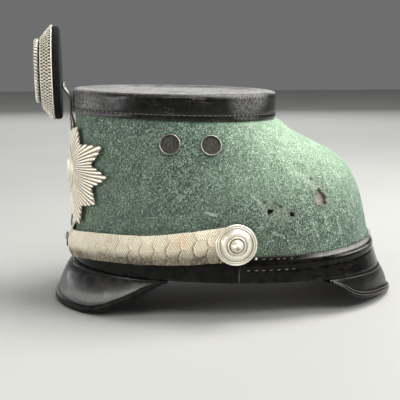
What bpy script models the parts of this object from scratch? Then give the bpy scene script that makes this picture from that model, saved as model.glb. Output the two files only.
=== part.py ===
"""Felt shako with a leather lid, a leather base band, two leather visors, metal chin scales and a wire cockade.

Sizes in the tables and constants are millimetres in the hat's own frame: -Y is the front, +X the wearer's left,
+Z up, and height 0 is the lower edge of the base band. The empty "shako" carries every piece and leans that frame
back a little, as the hat stands on the edges of its two visors.
"""

import bmesh
import bpy
import math
from mathutils import Matrix, Vector

MM = 0.001

# ---- how the hat stands -------------------------------------------------------------------------
REST_TILT_DEG = 1.7  # the rear visor is shorter than the front one, so the hat leans back
BASE_RISE = 27.26  # height of the base plane over the table, at y = 0
SHIFT_Y = -12.05  # puts the middle of the whole object over the origin

# ---- walls and gaps -----------------------------------------------------------------------------
GAP = 0.3  # clearance between touching pieces
FELT = 2.0  # felt cover
SHELL = 1.5  # stiff body under the felt
BAND = 1.6  # leather base band
LID_WALL = 1.8
VISOR = 2.0
SHELL_OUT = FELT + GAP  # depth of the stiff body's outer face under the felt's face
BAND_IN = GAP
BAND_OUT = GAP + BAND

# ---- crown: outer face of the felt --------------------------------------------------------------
# height, y of the front, y of the widest point, y of the rear, half width
CROWN = (
    (1.5, -91.3, 18.0, 130.6, 84.9),
    (10.0, -91.5, 18.0, 127.4, 84.2),
    (17.0, -91.7, 17.5, 125.2, 83.5),
    (25.0, -91.9, 16.5, 123.2, 82.7),
    (36.0, -92.0, 15.0, 120.6, 81.3),
    (50.0, -92.2, 12.0, 117.0, 79.2),
    (62.0, -92.4, 8.0, 112.4, 76.8),
    (72.0, -92.6, 4.0, 105.8, 74.4),
    (80.5, -92.8, 0.0, 95.4, 72.0),
    (89.0, -93.0, -6.0, 79.2, 69.3),
    (97.0, -93.2, -12.5, 62.2, 66.1),
    (103.6, -93.3, -18.0, 54.4, 63.3),
    (105.4, -93.2, -21.9, 49.4, 61.6),
    (118.0, -93.2, -21.9, 49.4, 61.6),
)
OVAL_POWER = 2.12  # 2 is an ellipse, more is squarer
AROUND = 36

BAND_TOP_SIDE, BAND_TOP_REAR = 18.2, 23.6

# ---- lid ----------------------------------------------------------------------------------------
LID_LOW, LID_TOP, LID_DISH = 105.6, 122.3, 1.2
LID_REAR_RISE = 1.5  # the lid's top climbs a little towards the rear

# ---- visors: share of the way from the middle to the end, how far the lip stands out, how far it drops
FRONT_VISOR = (
    (0.0, 12.2, 29.0),
    (0.18, 11.8, 28.9),
    (0.4, 10.2, 28.6),
    (0.52, 9.2, 27.6),
    (0.61, 8.1, 24.6),
    (0.72, 6.6, 19.0),
    (0.83, 4.8, 12.0),
    (0.91, 3.0, 6.0),
    (1.0, 1.2, 0.8),
)
REAR_VISOR = (
    (0.0, 10.0, 22.0),
    (0.05, 9.9, 21.7),
    (0.16, 8.6, 19.6),
    (0.31, 6.6, 17.6),
    (0.49, 5.0, 16.2),
    (0.66, 4.2, 15.0),
    (0.78, 3.4, 12.6),
    (0.84, 2.8, 9.8),
    (0.92, 1.8, 4.4),
    (1.0, 1.0, 0.8),
)
FRONT_END_Y, REAR_END_Y = -30.0, 81.0
FLANGE_RISE = 7.0  # the sewn margin that turns up inside the body
EDGE_OUT, EDGE_DEPTH = 0.9, 1.6  # leather edging round each lip
EDGE_LAP = 4.2  # how far the edging laps onto the leaf
EDGING_SPAN = 0.93  # share of the visor's half that the edging covers

# ---- chin scales --------------------------------------------------------------------------------
# distance along the strap from the front, height of its middle, width, dome, stand-off from the band
SCALES = (
    (0.3, 10.6, 18.6, 2.3, 0.5),
    (12.0, 11.6, 18.8, 2.4, 0.5),
    (38.0, 15.0, 19.0, 2.5, 0.5),
    (60.0, 17.3, 19.2, 2.5, 0.5),
    (95.0, 19.6, 19.6, 2.3, 0.5),
    (122.0, 22.6, 21.8, 2.0, 0.5),
    (150.0, 26.6, 23.6, 1.7, 0.5),
)
SCALE_EDGE = 1.0
BOSS_Y, BOSS_H = 14.5, 27.0
# radius, height over the strap
BOSS = (
    (13.8, 0.0),
    (13.8, 1.1),
    (12.2, 1.8),
    (9.4, 3.7),
    (7.0, 4.1),
    (4.0, 5.2),
    (3.4, 7.2),
    (1.8, 8.5),
)
BOSS_TIP = 8.8
POST_R, POST_LONG = 1.9, 11.0

# ---- front plate: a twelve-pointed sunburst with an oval boss -----------------------------------
PLATE_H, PLATE_HALF_W, PLATE_UP, PLATE_DOWN = 65.0, 62.0, 36.5, 43.0
PLATE_REACH = (0.98, 1.12, 1.0, 1.0, 1.0, 1.12, 0.98, 0.92, 0.96, 1.0, 0.96, 0.92)  # of each ray, from the wearer's left
PLATE_BACK, PLATE_THICK = 3.0, 1.2
PLATE_DOME = 2.6
PLATE_NOTCH = 0.76
PLATE_POSTS = (-15.0, 15.0)

# ---- cockade ------------------------------------------------------------------------------------
COCKADE_Y, COCKADE_H, COCKADE_LEAN_DEG = -108.85, 132.5, 2.8
# distance in front of the cone's back, half height, half width
COCKADE_BACK = ((-5.2, 30.6, 22.4), (-4.4, 32.4, 24.0), (-2.0, 33.0, 24.6), (-0.3, 33.0, 24.6))
COCKADE_CONE = ((0.0, 33.7, 25.0), (1.2, 33.4, 24.8), (8.2, 25.2, 17.2), (9.2, 23.8, 15.8))
COCKADE_CENTRE = ((9.5, 20.8, 12.8), (10.2, 20.8, 12.8), (10.2, 22.8, 14.6), (11.7, 22.6, 14.4), (13.2, 19.4, 11.6), (13.8, 10.0, 6.0))
COCKADE_TIP = 14.0
COCKADE_CENTRE_RISE = 1.6
PRONG_R, PRONG_X = 0.8, 5.0

# ---- ventilators --------------------------------------------------------------------------------
VENT_YS, VENT_H = (-29.2, -1.9), 89.9
VENT_HOLE_R, VENT_FLANGE_R, VENT_BORE_R = 6.9, 7.5, 6.2

# ---- moth holes in the felt, wearer's left ------------------------------------------------------
# y, height, half width, half height, turn in degrees
MOTH_HOLES = (
    (74.5, 55.0, 3.8, 4.9, 16.0),
    (38.3, 47.3, 1.9, 1.3, 20.0),
    (54.1, 45.0, 1.5, 1.3, 0.0),
)

COLOURS = {
    "felt": ((0.10, 0.19, 0.15), 0.95, 0.0),
    "body": ((0.20, 0.20, 0.19), 0.8, 0.0),
    "leather": ((0.010, 0.010, 0.011), 0.28, 0.0),
    "velvet": ((0.012, 0.012, 0.013), 0.9, 0.0),
    "silver": ((0.72, 0.69, 0.62), 0.38, 1.0),
    "wire": ((0.68, 0.67, 0.62), 0.42, 1.0),
    "steel": ((0.45, 0.45, 0.44), 0.35, 1.0),
    "mesh": ((0.09, 0.085, 0.08), 0.6, 0.6),
}


# ---- small tools --------------------------------------------------------------------------------
def material(name):
    made = bpy.data.materials.get(name)
    if made is None:
        colour, roughness, metallic = COLOURS[name]
        made = bpy.data.materials.new(name)
        made.use_nodes = True
        shader = made.node_tree.nodes["Principled BSDF"]
        shader.inputs["Base Color"].default_value = (*colour, 1.0)
        shader.inputs["Roughness"].default_value = roughness
        shader.inputs["Metallic"].default_value = metallic
    return made


def smooth_rows(rows, x):
    """Each column of the table at x of its first column, through a curve that never overshoots."""
    if x <= rows[0][0]:
        return rows[0][1:]
    if x >= rows[-1][0]:
        return rows[-1][1:]
    i = max(k for k in range(len(rows) - 1) if rows[k][0] <= x)
    h = rows[i + 1][0] - rows[i][0]
    t = (x - rows[i][0]) / h
    found = []
    for c in range(1, len(rows[0])):

        def slope(k):
            return (rows[k + 1][c] - rows[k][c]) / (rows[k + 1][0] - rows[k][0])

        def tangent(k):
            if k == 0 or k == len(rows) - 1:
                return slope(min(k, len(rows) - 2))
            a, b = slope(k - 1), slope(k)
            return 0.0 if a * b <= 0 else 2 * a * b / (a + b)

        m0, m1 = tangent(i) * h, tangent(i + 1) * h
        p0, p1 = rows[i][c], rows[i + 1][c]
        found.append(
            p0 * (2 * t**3 - 3 * t**2 + 1) + m0 * (t**3 - 2 * t**2 + t) + p1 * (3 * t**2 - 2 * t**3) + m1 * (t**3 - t**2)
        )
    return tuple(found)


def rows_at(rows, x):
    """Each column of the table at x of its first column, straight from row to row."""
    x = min(max(x, rows[0][0]), rows[-1][0])
    i = max(k for k in range(len(rows) - 1) if rows[k][0] <= x)
    t = (x - rows[i][0]) / (rows[i + 1][0] - rows[i][0])
    return tuple(a + (b - a) * t for a, b in zip(rows[i][1:], rows[i + 1][1:]))


def powered(value, power):
    return math.copysign(abs(value) ** (2.0 / power), value)


def crown_point(angle, height):
    """Outer face of the felt. Angle 0 is the wearer's left, a quarter turn the rear."""
    front, middle, rear, half = rows_at(CROWN, height)
    c, s = powered(math.cos(angle), OVAL_POWER), powered(math.sin(angle), OVAL_POWER)
    return Vector((half * c, middle + (rear - middle if s > 0 else middle - front) * s, height))


def crown_normal(angle, height, level=False):
    low, high = max(height - 0.4, CROWN[0][0]), min(height + 0.4, CROWN[-1][0])
    around = crown_point(angle + 0.02, height) - crown_point(angle - 0.02, height)
    up = crown_point(angle, high) - crown_point(angle, low)
    normal = around.cross(up)
    if level:
        normal.z = 0.0
    return normal.normalized()


def off_crown(angle, height, out, level=False):
    return crown_point(angle, height) + crown_normal(angle, height, level) * out


def angle_at_y(target, height, low, high):
    """The angle between low and high where the crown's outline reaches that y."""
    for _ in range(50):
        middle = (low + high) / 2
        if crown_point(middle, height).y < target:
            low = middle
        else:
            high = middle
    return (low + high) / 2


def angle_along(distance, height, out):
    """The angle at that distance round from the front, measured on a line that stands out from the crown."""
    steps, angle, gone = 0.004, -math.pi / 2, 0.0
    at = off_crown(angle, height, out, True)
    while gone < abs(distance):
        angle += steps
        now = off_crown(angle, height, out, True)
        gone += (now - at).length
        at = now
    return angle if distance >= 0 else -math.pi - angle


def solid(name, rings, look, wrap=False, poles=(None, None), caps=False, parent=None):
    """One closed body skinned over rings of equal count."""
    mesh = bmesh.new()
    made = [[mesh.verts.new(p * MM) for p in ring] for ring in rings]
    n = len(made[0])
    pairs = list(zip(made, made[1:])) + ([(made[-1], made[0])] if wrap else [])
    for a, b in pairs:
        for i in range(n):
            j = (i + 1) % n
            mesh.faces.new((a[i], a[j], b[j], b[i]))
    for pole, ring in ((poles[0], made[0]), (poles[1], made[-1])):
        if pole is not None:
            tip = mesh.verts.new(pole * MM)
            for i in range(n):
                mesh.faces.new((ring[i], ring[(i + 1) % n], tip))
    if caps:
        mesh.faces.new(made[0])
        mesh.faces.new(made[-1])
    bmesh.ops.recalc_face_normals(mesh, faces=mesh.faces)
    data = bpy.data.meshes.new(name)
    mesh.to_mesh(data)
    mesh.free()
    data.shade_smooth()
    data.set_sharp_from_angle(angle=math.radians(35))
    data.materials.append(material(look))
    made = bpy.data.objects.new(name, data)
    bpy.context.scene.collection.objects.link(made)
    made.parent = parent
    return made


def turned(name, profile, tip, look, place, axis, parent, segments=18, foot=None):
    """A round piece turned about an axis that points away from the hat: rows of radius and height, then the tip."""
    turn = axis.to_track_quat("Z", "Y").to_matrix().to_4x4()

    def at(r, h, k):
        a = 2 * math.pi * k / segments
        return turn @ Vector((r * math.cos(a), r * math.sin(a), h))

    rings = [[at(r, h, k) for k in range(segments)] for r, h in profile]
    if foot is not None:
        r, long = foot
        rings = [[at(r, -long, k) for k in range(segments)], [at(r, 0.0, k) for k in range(segments)]] + rings
        base = turn @ Vector((0, 0, -long))
    else:
        base = turn @ Vector((0, 0, profile[0][1]))
    made = solid(name, rings, look, poles=(base, turn @ Vector((0, 0, tip))), parent=parent)
    made.location = place * MM
    return made


def tube(name, points, radius, sides, look, parent):
    """A round wire through the points, its section turned with the line."""
    rings = []
    across = None
    for k, p in enumerate(points):
        run = (points[min(k + 1, len(points) - 1)] - points[max(k - 1, 0)]).normalized()
        if across is None:
            across = run.orthogonal()
        across = (across - run * across.dot(run)).normalized()
        beside = run.cross(across)
        turns = [2 * math.pi * j / sides for j in range(sides)]
        rings.append([p + (across * math.cos(t) + beside * math.sin(t)) * radius for t in turns])
    return solid(name, rings, look, caps=True, parent=parent)


def cutter(name, places, parent, segments=16):
    """Plain round or oval bars, each given by its middle, its axis, two half sizes, a turn and a length."""
    mesh = bmesh.new()
    for middle, axis, across, up, turn_deg, long in places:
        spin = Matrix.Rotation(math.radians(turn_deg), 4, "Z")
        shape = axis.to_track_quat("Z", "Y").to_matrix().to_4x4() @ spin
        shape.translation = middle * MM
        made = bmesh.ops.create_cone(mesh, cap_ends=True, segments=segments, radius1=1, radius2=1, depth=1)
        size = Matrix.Diagonal((across * MM, up * MM, long * MM, 1.0))
        bmesh.ops.transform(mesh, matrix=shape @ size, verts=made["verts"])
    bmesh.ops.recalc_face_normals(mesh, faces=mesh.faces)
    data = bpy.data.meshes.new(name)
    mesh.to_mesh(data)
    mesh.free()
    made = bpy.data.objects.new(name, data)
    bpy.context.scene.collection.objects.link(made)
    made.parent = parent
    made.hide_render = True
    made.display_type = "WIRE"
    return made


def cut(piece, tool):
    made = piece.modifiers.new("cut_" + tool.name, "BOOLEAN")
    made.operation = "DIFFERENCE"
    made.solver = "EXACT"
    made.object = tool


def table_height(point):
    """Height of that point of the hat's frame over the table."""
    tilt = math.radians(REST_TILT_DEG)
    return BASE_RISE - point.y * math.sin(tilt) + point.z * math.cos(tilt)


def rested(point):
    """The point, moved up to the table if it is under it."""
    over = table_height(point)
    if over >= 0:
        return point
    return Vector((point.x, point.y, point.z - over / math.cos(math.radians(REST_TILT_DEG))))


# ---- the pieces ---------------------------------------------------------------------------------
def wall(name, outer, outer_rows, inner, inner_rows, look, parent):
    """A tube between two depths under the felt's face, each side with its own rows of the crown's table."""
    ends = (CROWN[0][0], CROWN[-1][0])
    angles = [2 * math.pi * k / AROUND for k in range(AROUND)]
    rings = [[off_crown(a, h, outer, h in ends) for a in angles] for h in outer_rows]
    rings += [[off_crown(a, h, inner, h in ends) for a in angles] for h in reversed(inner_rows)]
    return solid(name, rings, look, wrap=True, parent=parent)


def base_band(parent):
    angles = [2 * math.pi * k / AROUND for k in range(AROUND)]

    def top(angle):
        share = max(0.0, math.sin(angle)) ** 2
        return BAND_TOP_SIDE + (BAND_TOP_REAR - BAND_TOP_SIDE) * share

    def ring(height, out):
        made = []
        for a in angles:
            h = top(a) if height is None else height
            p = off_crown(a, max(h, CROWN[0][0]), out, True)
            made.append(Vector((p.x, p.y, h)))
        return made

    rows = (0.0, CROWN[0][0], CROWN[1][0], CROWN[2][0], None)
    rings = [ring(h, BAND_OUT) for h in rows] + [ring(h, BAND_IN) for h in reversed(rows)]
    return solid("base_band", rings, "leather", wrap=True, parent=parent)


def lid(parent):
    angles = [2 * math.pi * k / AROUND for k in range(AROUND)]
    out = GAP + LID_WALL
    front, rear = CROWN[-1][1], CROWN[-1][3]
    centre = Vector((0, (front + rear) / 2, 0))

    def ring(offset, height, share=1.0):
        made = []
        for a in angles:
            p = off_crown(a, 112.0, offset, True)
            p = centre + (Vector((p.x, p.y, 0)) - centre) * share
            climb = LID_REAR_RISE * (p.y - front) / (rear - front) * (height > (LID_LOW + LID_TOP) / 2)
            made.append(Vector((p.x, p.y, height + climb)))
        return made

    rings = [
        ring(GAP, LID_LOW),
        ring(out, LID_LOW),
        ring(out, LID_TOP - 3.0),
        ring(out - 0.5, LID_TOP - 1.2),
        ring(out - 1.7, LID_TOP - 0.25),
        ring(out - 3.0, LID_TOP),
        ring(out - 3.0, LID_TOP - LID_DISH, 0.88),
        ring(out - 3.0, LID_TOP - LID_DISH, 0.45),
    ]
    inside = LID_TOP - 2.4
    under = [
        ring(GAP, inside - 0.8),
        ring(GAP - 2.0, inside, 0.95),
        ring(GAP - 4.4, inside - LID_DISH, 0.45),
    ]
    middle_rise = LID_REAR_RISE / 2
    low = centre + Vector((0, 0, inside - LID_DISH + middle_rise))
    high = centre + Vector((0, 0, LID_TOP - LID_DISH + middle_rise))
    return solid("lid", list(reversed(under)) + rings, "leather", poles=(low, high), parent=parent)


def visor_station(angle, out, drop, steps):
    """Cross-section of a visor at one angle: the sewn margin inside the body, the turn under it, and the leaf.
    Returns the closed section and the lip's middle, direction and outward side."""
    edge = off_crown(angle, CROWN[0][0], BAND_OUT, True)
    edge.z = 0.0
    side = crown_normal(angle, CROWN[0][0], True)
    up = Vector((0, 0, 1))
    depth = -(SHELL_OUT + SHELL + 2.5 * GAP)  # the margin's outer face, inside the body
    deep = BAND_OUT - depth
    lean = (off_crown(angle, FLANGE_RISE, depth, True) - off_crown(angle, CROWN[0][0], depth, True)).dot(side)

    def at(r, z):
        return edge + side * r + up * z

    top = []
    for k in range(steps + 1):
        w = k / steps
        bulge = 0.5
        r = out * (bulge * math.sin(w * math.pi / 2) + (1 - bulge) * w)
        z = -drop * (bulge * (1 - math.cos(w * math.pi / 2)) + (1 - bulge) * w)
        top.append((r + 0.2 * (1 - w), z - GAP))
    under = []
    for k, (r, z) in enumerate(top):
        a, b = top[max(k - 1, 0)], top[min(k + 1, steps)]
        dr, dz = b[0] - a[0], b[1] - a[1]
        length = math.hypot(dr, dz)
        under.append((r + dz / length * VISOR, z - dr / length * VISOR))
    under[0] = (top[0][0] - VISOR, -GAP - VISOR)
    section = (
        [(lean - deep - 1.5, FLANGE_RISE), (lean - deep, FLANGE_RISE), (-deep, -GAP)]
        + top
        + list(reversed(under))
        + [(-deep - 1.5, -GAP - VISOR)]
    )
    lip = ((top[-1][0] + under[-1][0]) / 2, (top[-1][1] + under[-1][1]) / 2)
    run = (top[-1][0] - top[-2][0], top[-1][1] - top[-2][1])
    length = math.hypot(*run)
    run = (run[0] / length, run[1] / length)
    return [at(r, z) for r, z in section], (at, lip, run)


def visor(name, middle, span, table, stations, steps, parent):
    """The leaf and its edging."""
    leaf, edging = [], []
    half, thin = VISOR / 2 + GAP, VISOR / 2 + GAP + EDGE_OUT

    def outline(lap):
        return (
            (half, -lap),
            (half, GAP),
            (-half, GAP),
            (-half, -lap),
            (-thin, 0.2 - lap),
            (-thin, 0.5),
            (-thin + 0.9, EDGE_DEPTH),
            (thin - 0.9, EDGE_DEPTH),
            (thin, 0.5),
            (thin, 0.2 - lap),
        )

    for k in range(-stations, stations + 1):
        s = math.sin(k / stations * math.pi / 2) if abs(k) < stations else math.copysign(1.0, k)
        s = 0.55 * s + 0.45 * k / stations
        out, drop = smooth_rows(table, abs(s))
        section, (at, lip, run) = visor_station(middle + s * span, out, drop, steps)
        leaf.append(section)
        if abs(s) < EDGING_SPAN:
            normal = (-run[1], run[0])
            ring = []
            for across, along in outline(min(EDGE_LAP, 0.42 * math.hypot(out, drop))):
                p = at(lip[0] + normal[0] * across + run[0] * along, lip[1] + normal[1] * across + run[1] * along)
                ring.append(rested(p))
            edging.append(ring)
    made = solid(name, leaf, "leather", caps=True, parent=parent)
    trim = solid(name + "_edging", edging, "leather", caps=True, parent=parent)
    return made, trim


def scale_station(distance, sign, wide=None):
    """One cross-section of the chin scales, standing outside the band."""
    height, width, dome, off = smooth_rows(SCALES, distance)
    width = width if wide is None else wide
    out = BAND_OUT + GAP + off
    angle = angle_along(distance, 10.0, out)
    foot = off_crown(angle, 10.0, out, True)
    side = crown_normal(angle, 10.0, True)
    ring = []
    rows = [(0.0, 0.5), (0.0, -0.5)]
    rows += [(SCALE_EDGE + dome * math.cos(t * math.pi / 2) ** 0.8, 0.5 * t) for t in (-1.0, -0.8, -0.45, 0.0, 0.45, 0.8, 1.0)]
    for r, share in rows:
        p = foot + side * r
        ring.append(Vector((sign * p.x, p.y, height + share * width)))
    return ring


def chin_scales(name, sign, end, parent):
    stops = [0.3, 5, 12, 20, 29, 38, 48, 59, 71, 83, 95, 107, 119, 131, 143, end - 9, end]
    rings = [scale_station(d, sign) for d in stops]
    rings.append(scale_station(end + 5, sign, 20.0))
    rings.append(scale_station(end + 9, sign, 12.5))
    return solid(name, rings, "silver", caps=True, parent=parent)


def front_plate(parent):
    """A twelve-pointed sunburst, bent round the front of the crown, with an oval boss and two screw posts."""
    around = 4 * len(PLATE_REACH)

    def place(across, up, out):
        angle = angle_along(across, PLATE_H, PLATE_BACK)
        return off_crown(angle, PLATE_H + up, out)

    def reach(k):
        ray = abs((k % 4) / 2.0 - 1)  # 1 at a point, 0 in a notch
        return PLATE_NOTCH + (PLATE_REACH[(k + 2) // 4 % len(PLATE_REACH)] - PLATE_NOTCH) * ray

    def ring(share, out):
        made = []
        for k in range(around):
            a = 2 * math.pi * k / around
            long = reach(k) ** share
            tall = PLATE_UP if math.sin(a) > 0 else PLATE_DOWN
            made.append(place(PLATE_HALF_W * share * long * math.cos(a), tall * share * long * math.sin(a), out))
        return made

    face = PLATE_BACK + PLATE_THICK
    rings = [
        ring(0.15, PLATE_BACK),
        ring(0.35, PLATE_BACK),
        ring(0.6, PLATE_BACK),
        ring(0.8, PLATE_BACK),
        ring(1.0, PLATE_BACK),
        ring(1.0, PLATE_BACK + 0.7),
        ring(0.8, face - 0.2),
        ring(0.6, face),
        ring(0.38, face + 0.5),
        ring(0.3, face + 1.6),
        ring(0.16, face + PLATE_DOME - 0.3),
    ]
    plate = solid("front_plate", rings, "silver", poles=(place(0, 0, PLATE_BACK), place(0, 0, face + PLATE_DOME)), parent=parent)
    for k, across in enumerate(PLATE_POSTS):
        angle = angle_along(across, PLATE_H, PLATE_BACK)
        side = crown_normal(angle, PLATE_H)
        root = off_crown(angle, PLATE_H, PLATE_BACK + 0.8)
        made = bmesh.new()
        turn = side.to_track_quat("Z", "Y").to_matrix().to_4x4()
        turn.translation = (root - side * 4.5) * MM
        bmesh.ops.create_cone(made, cap_ends=True, segments=10, radius1=1.2 * MM, radius2=1.2 * MM, depth=9.0 * MM, matrix=turn)
        data = bpy.data.meshes.new("plate_post")
        made.to_mesh(data)
        made.free()
        post = bpy.data.objects.new("plate_post_%d" % k, data)
        bpy.context.scene.collection.objects.link(post)
        post.parent = parent
        post.hide_render = True
        post.display_type = "WIRE"
        joined = plate.modifiers.new("post", "BOOLEAN")
        joined.operation = "UNION"
        joined.solver = "EXACT"
        joined.object = post
    return plate


def cockade_frame():
    lean = math.radians(COCKADE_LEAN_DEG)
    facing = Vector((0, -math.cos(lean), -math.sin(lean)))
    upward = Vector((0, -math.sin(lean), math.cos(lean)))
    return Vector((0, COCKADE_Y, COCKADE_H)), facing, upward


def cockade_piece(name, rows, tip, look, parent, rise=0.0, around=28):
    middle, facing, upward = cockade_frame()
    middle = middle + upward * rise

    def at(depth, tall, wide, k):
        a = 2 * math.pi * k / around
        return middle + facing * depth + upward * (tall * math.sin(a)) + Vector((wide * math.cos(a), 0, 0))

    rings = [[at(d, t, w, k) for k in range(around)] for d, t, w in rows]
    return solid(name, rings, look, poles=(middle + facing * rows[0][0], middle + facing * tip), parent=parent)


def prong(parent):
    """A wire fork: out of the cockade's back, over the lid's front and down behind the front plate."""
    lid_front = crown_point(-math.pi / 2, 112.0).y - GAP - LID_WALL
    felt_front = crown_point(-math.pi / 2, 90.0).y
    clear = GAP + 0.2 + PRONG_R
    # y and height of one leg, from its foot to the cockade
    leg = (
        (felt_front - clear + 0.3, 66.0),
        (felt_front - clear + 0.2, 84.0),
        (felt_front - clear, 96.0),
        (lid_front - clear + 0.2, 103.5),
        (lid_front - clear, 108.0),
        (lid_front - clear, 113.5),
        (lid_front - clear - 1.2, 116.5),
        (lid_front - clear - 4.2, 121.0),
        (lid_front - clear - 5.3, 122.6),
    )
    points = [(PRONG_X, y, h) for y, h in leg]
    y, h = leg[-1]
    bow = [(PRONG_X - 0.5, y - 0.1, h + 1.6), (PRONG_X - 2.2, y - 0.1, h + 2.6), (0.0, y - 0.1, h + 3.0)]
    points += bow + [(-a, b, c) for a, b, c in reversed(bow[:-1])] + [(-a, b, c) for a, b, c in reversed(points)]
    return tube("cockade_prong", [Vector(p) for p in points], PRONG_R, 6, "steel", parent)


def ring_piece(name, place, axis, parent, segments=16):
    """A ventilator's eyelet: a flange on the felt and a barrel through the wall."""
    turn = axis.to_track_quat("Z", "Y").to_matrix().to_4x4()
    rows = (
        (VENT_BORE_R, -4.4),
        (VENT_HOLE_R - 0.3, -4.4),
        (VENT_HOLE_R - 0.3, 0.5),
        (VENT_FLANGE_R, 0.5),
        (VENT_FLANGE_R - 0.3, 1.3),
        (VENT_BORE_R, 1.5),
    )
    rings = []
    for r, h in rows:
        rings.append([turn @ Vector((r * math.cos(2 * math.pi * k / segments), r * math.sin(2 * math.pi * k / segments), h)) for k in range(segments)])
    made = solid(name, rings, "steel", wrap=True, parent=parent)
    made.location = place * MM
    return made


def build():
    for old in list(bpy.data.objects):
        bpy.data.objects.remove(old, do_unlink=True)

    shako = bpy.data.objects.new("shako", None)
    bpy.context.scene.collection.objects.link(shako)
    shako.rotation_euler = (math.radians(-REST_TILT_DEG), 0, 0)
    shako.location = (0, SHIFT_Y * MM, BASE_RISE * MM)

    rows = [row[0] for row in CROWN]
    few = rows[0:1] + rows[2::2][:-2] + rows[-3:]
    felt = wall("crown_felt", 0.0, rows, -FELT, few, "felt", shako)
    body = wall("crown_body", -SHELL_OUT, few, -SHELL_OUT - SHELL, few, "body", shako)
    base_band(shako)
    lid(shako)

    # holes that go through both walls
    through, only_felt = [], []
    vents = []
    for side_name, sign in (("left", 1), ("right", -1)):
        for order, y in zip(("front", "rear"), VENT_YS):
            angle = angle_at_y(y, VENT_H, -math.pi / 2, math.pi / 2)
            place, axis = crown_point(angle, VENT_H), crown_normal(angle, VENT_H)
            place.x *= sign
            axis.x *= sign
            vents.append((order + "_" + side_name, place, axis))
            through.append((place, axis, VENT_HOLE_R, VENT_HOLE_R, 0.0, 16.0))
    boss_angle = angle_at_y(BOSS_Y, BOSS_H, -math.pi / 2, math.pi / 2)
    for sign in (1, -1):
        place = Vector((sign * crown_point(boss_angle, BOSS_H).x, BOSS_Y, BOSS_H))
        through.append((place, Vector((sign, 0, 0)), POST_R + GAP, POST_R + GAP, 0.0, 24.0))
    for across in PLATE_POSTS:
        angle = angle_along(across, PLATE_H, PLATE_BACK)
        through.append((crown_point(angle, PLATE_H), crown_normal(angle, PLATE_H), 1.6, 1.6, 0.0, 14.0))
    for y, h, across, up, turn in MOTH_HOLES:
        angle = angle_at_y(y, h, -math.pi / 2, math.pi / 2)
        only_felt.append((crown_point(angle, h) + crown_normal(angle, h) * 1.0, crown_normal(angle, h), across, up, turn, 2 * (FELT + 1.1)))
    posts_and_vents = cutter("holes_through", through, shako)
    moth = cutter("holes_in_felt", only_felt, shako, 9)
    cut(felt, posts_and_vents)
    cut(body, posts_and_vents)
    cut(felt, moth)

    for name, place, axis in vents:
        ring_piece("vent_ring_" + name, place, axis, shako)
        turned("vent_screen_" + name, ((VENT_BORE_R - 0.3, -0.5), (VENT_BORE_R - 0.3, 0.1)), 0.1, "mesh", place, axis, shako, 16)

    # visors
    quarter = math.pi / 2
    front_end = angle_at_y(FRONT_END_Y, CROWN[0][0], -quarter, quarter)
    rear_end = angle_at_y(REAR_END_Y, CROWN[0][0], -quarter, quarter)
    visor("front_visor", -quarter, front_end + quarter, FRONT_VISOR, 13, 5, shako)
    visor("rear_visor", quarter, quarter - rear_end, REAR_VISOR, 11, 4, shako)

    # chin scales, bosses and clasp
    out = BAND_OUT + GAP + 0.5
    gone, angle = 0.0, -quarter
    at = off_crown(angle, 10.0, out, True)
    while at.y < BOSS_Y:
        angle += 0.004
        now = off_crown(angle, 10.0, out, True)
        gone += (now - at).length
        at = now
    strap_face = at.x + SCALE_EDGE + smooth_rows(SCALES, gone)[2]
    bores = []
    for side_name, sign in (("left", 1), ("right", -1)):
        strap = chin_scales("chin_scales_" + side_name, sign, gone, shako)
        place = Vector((sign * (strap_face + GAP), BOSS_Y, BOSS_H))
        axis = Vector((sign, 0, 0))
        turned("boss_" + side_name, BOSS, BOSS_TIP, "silver", place, axis, shako, 18, (POST_R, POST_LONG))
        bores.append((strap, cutter("post_hole_" + side_name, [(place, axis, POST_R + GAP, POST_R + GAP, 0.0, 14.0)], shako, 12)))
    for strap, hole in bores:
        cut(strap, hole)
    height, width, dome, off = smooth_rows(SCALES, 0.3)
    face = crown_point(-quarter, 10.0).y - BAND_OUT - GAP - off - SCALE_EDGE - dome
    turned("scale_clasp", ((3.4, 0.0), (3.4, 1.0), (2.4, 1.7)), 2.0, "steel", Vector((0, face - GAP, height + 3.2)), Vector((0, -1, 0)), shako, 12)

    front_plate(shako)
    cockade_piece("cockade_back", COCKADE_BACK, -0.3, "velvet", shako)
    cockade_piece("cockade_cone", COCKADE_CONE, 9.2, "wire", shako)
    cockade_piece("cockade_centre", COCKADE_CENTRE, COCKADE_TIP, "wire", shako, COCKADE_CENTRE_RISE)
    prong(shako)


build()
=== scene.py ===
"""The looks of the felt shako: every surface as a modelled piece with a procedural finish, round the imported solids."""

import math

import bpy
import numpy as np
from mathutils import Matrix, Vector

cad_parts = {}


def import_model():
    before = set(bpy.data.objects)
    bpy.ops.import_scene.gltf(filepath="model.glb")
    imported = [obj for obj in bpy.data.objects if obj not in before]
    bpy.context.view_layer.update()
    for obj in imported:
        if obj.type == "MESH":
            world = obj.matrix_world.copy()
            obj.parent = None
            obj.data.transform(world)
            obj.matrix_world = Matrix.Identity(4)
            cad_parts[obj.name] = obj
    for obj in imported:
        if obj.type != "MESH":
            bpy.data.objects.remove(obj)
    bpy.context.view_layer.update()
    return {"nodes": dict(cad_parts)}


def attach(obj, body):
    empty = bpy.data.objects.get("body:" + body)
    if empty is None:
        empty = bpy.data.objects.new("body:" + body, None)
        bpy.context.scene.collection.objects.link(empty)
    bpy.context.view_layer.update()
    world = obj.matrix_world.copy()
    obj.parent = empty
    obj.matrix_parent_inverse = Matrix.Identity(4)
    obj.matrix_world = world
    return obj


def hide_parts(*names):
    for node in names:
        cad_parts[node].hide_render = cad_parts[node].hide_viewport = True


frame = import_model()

# ================================================================================================
# the hat's own frame: millimetres, -Y front, +X the wearer's left, height 0 at the band's lower edge
# ================================================================================================
TILT = math.radians(1.7)
BASE_RISE = 27.26
SHIFT_Y = -12.05
POWER = 2.12
GAP = 0.3
BAND_OUT = 1.9

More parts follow.
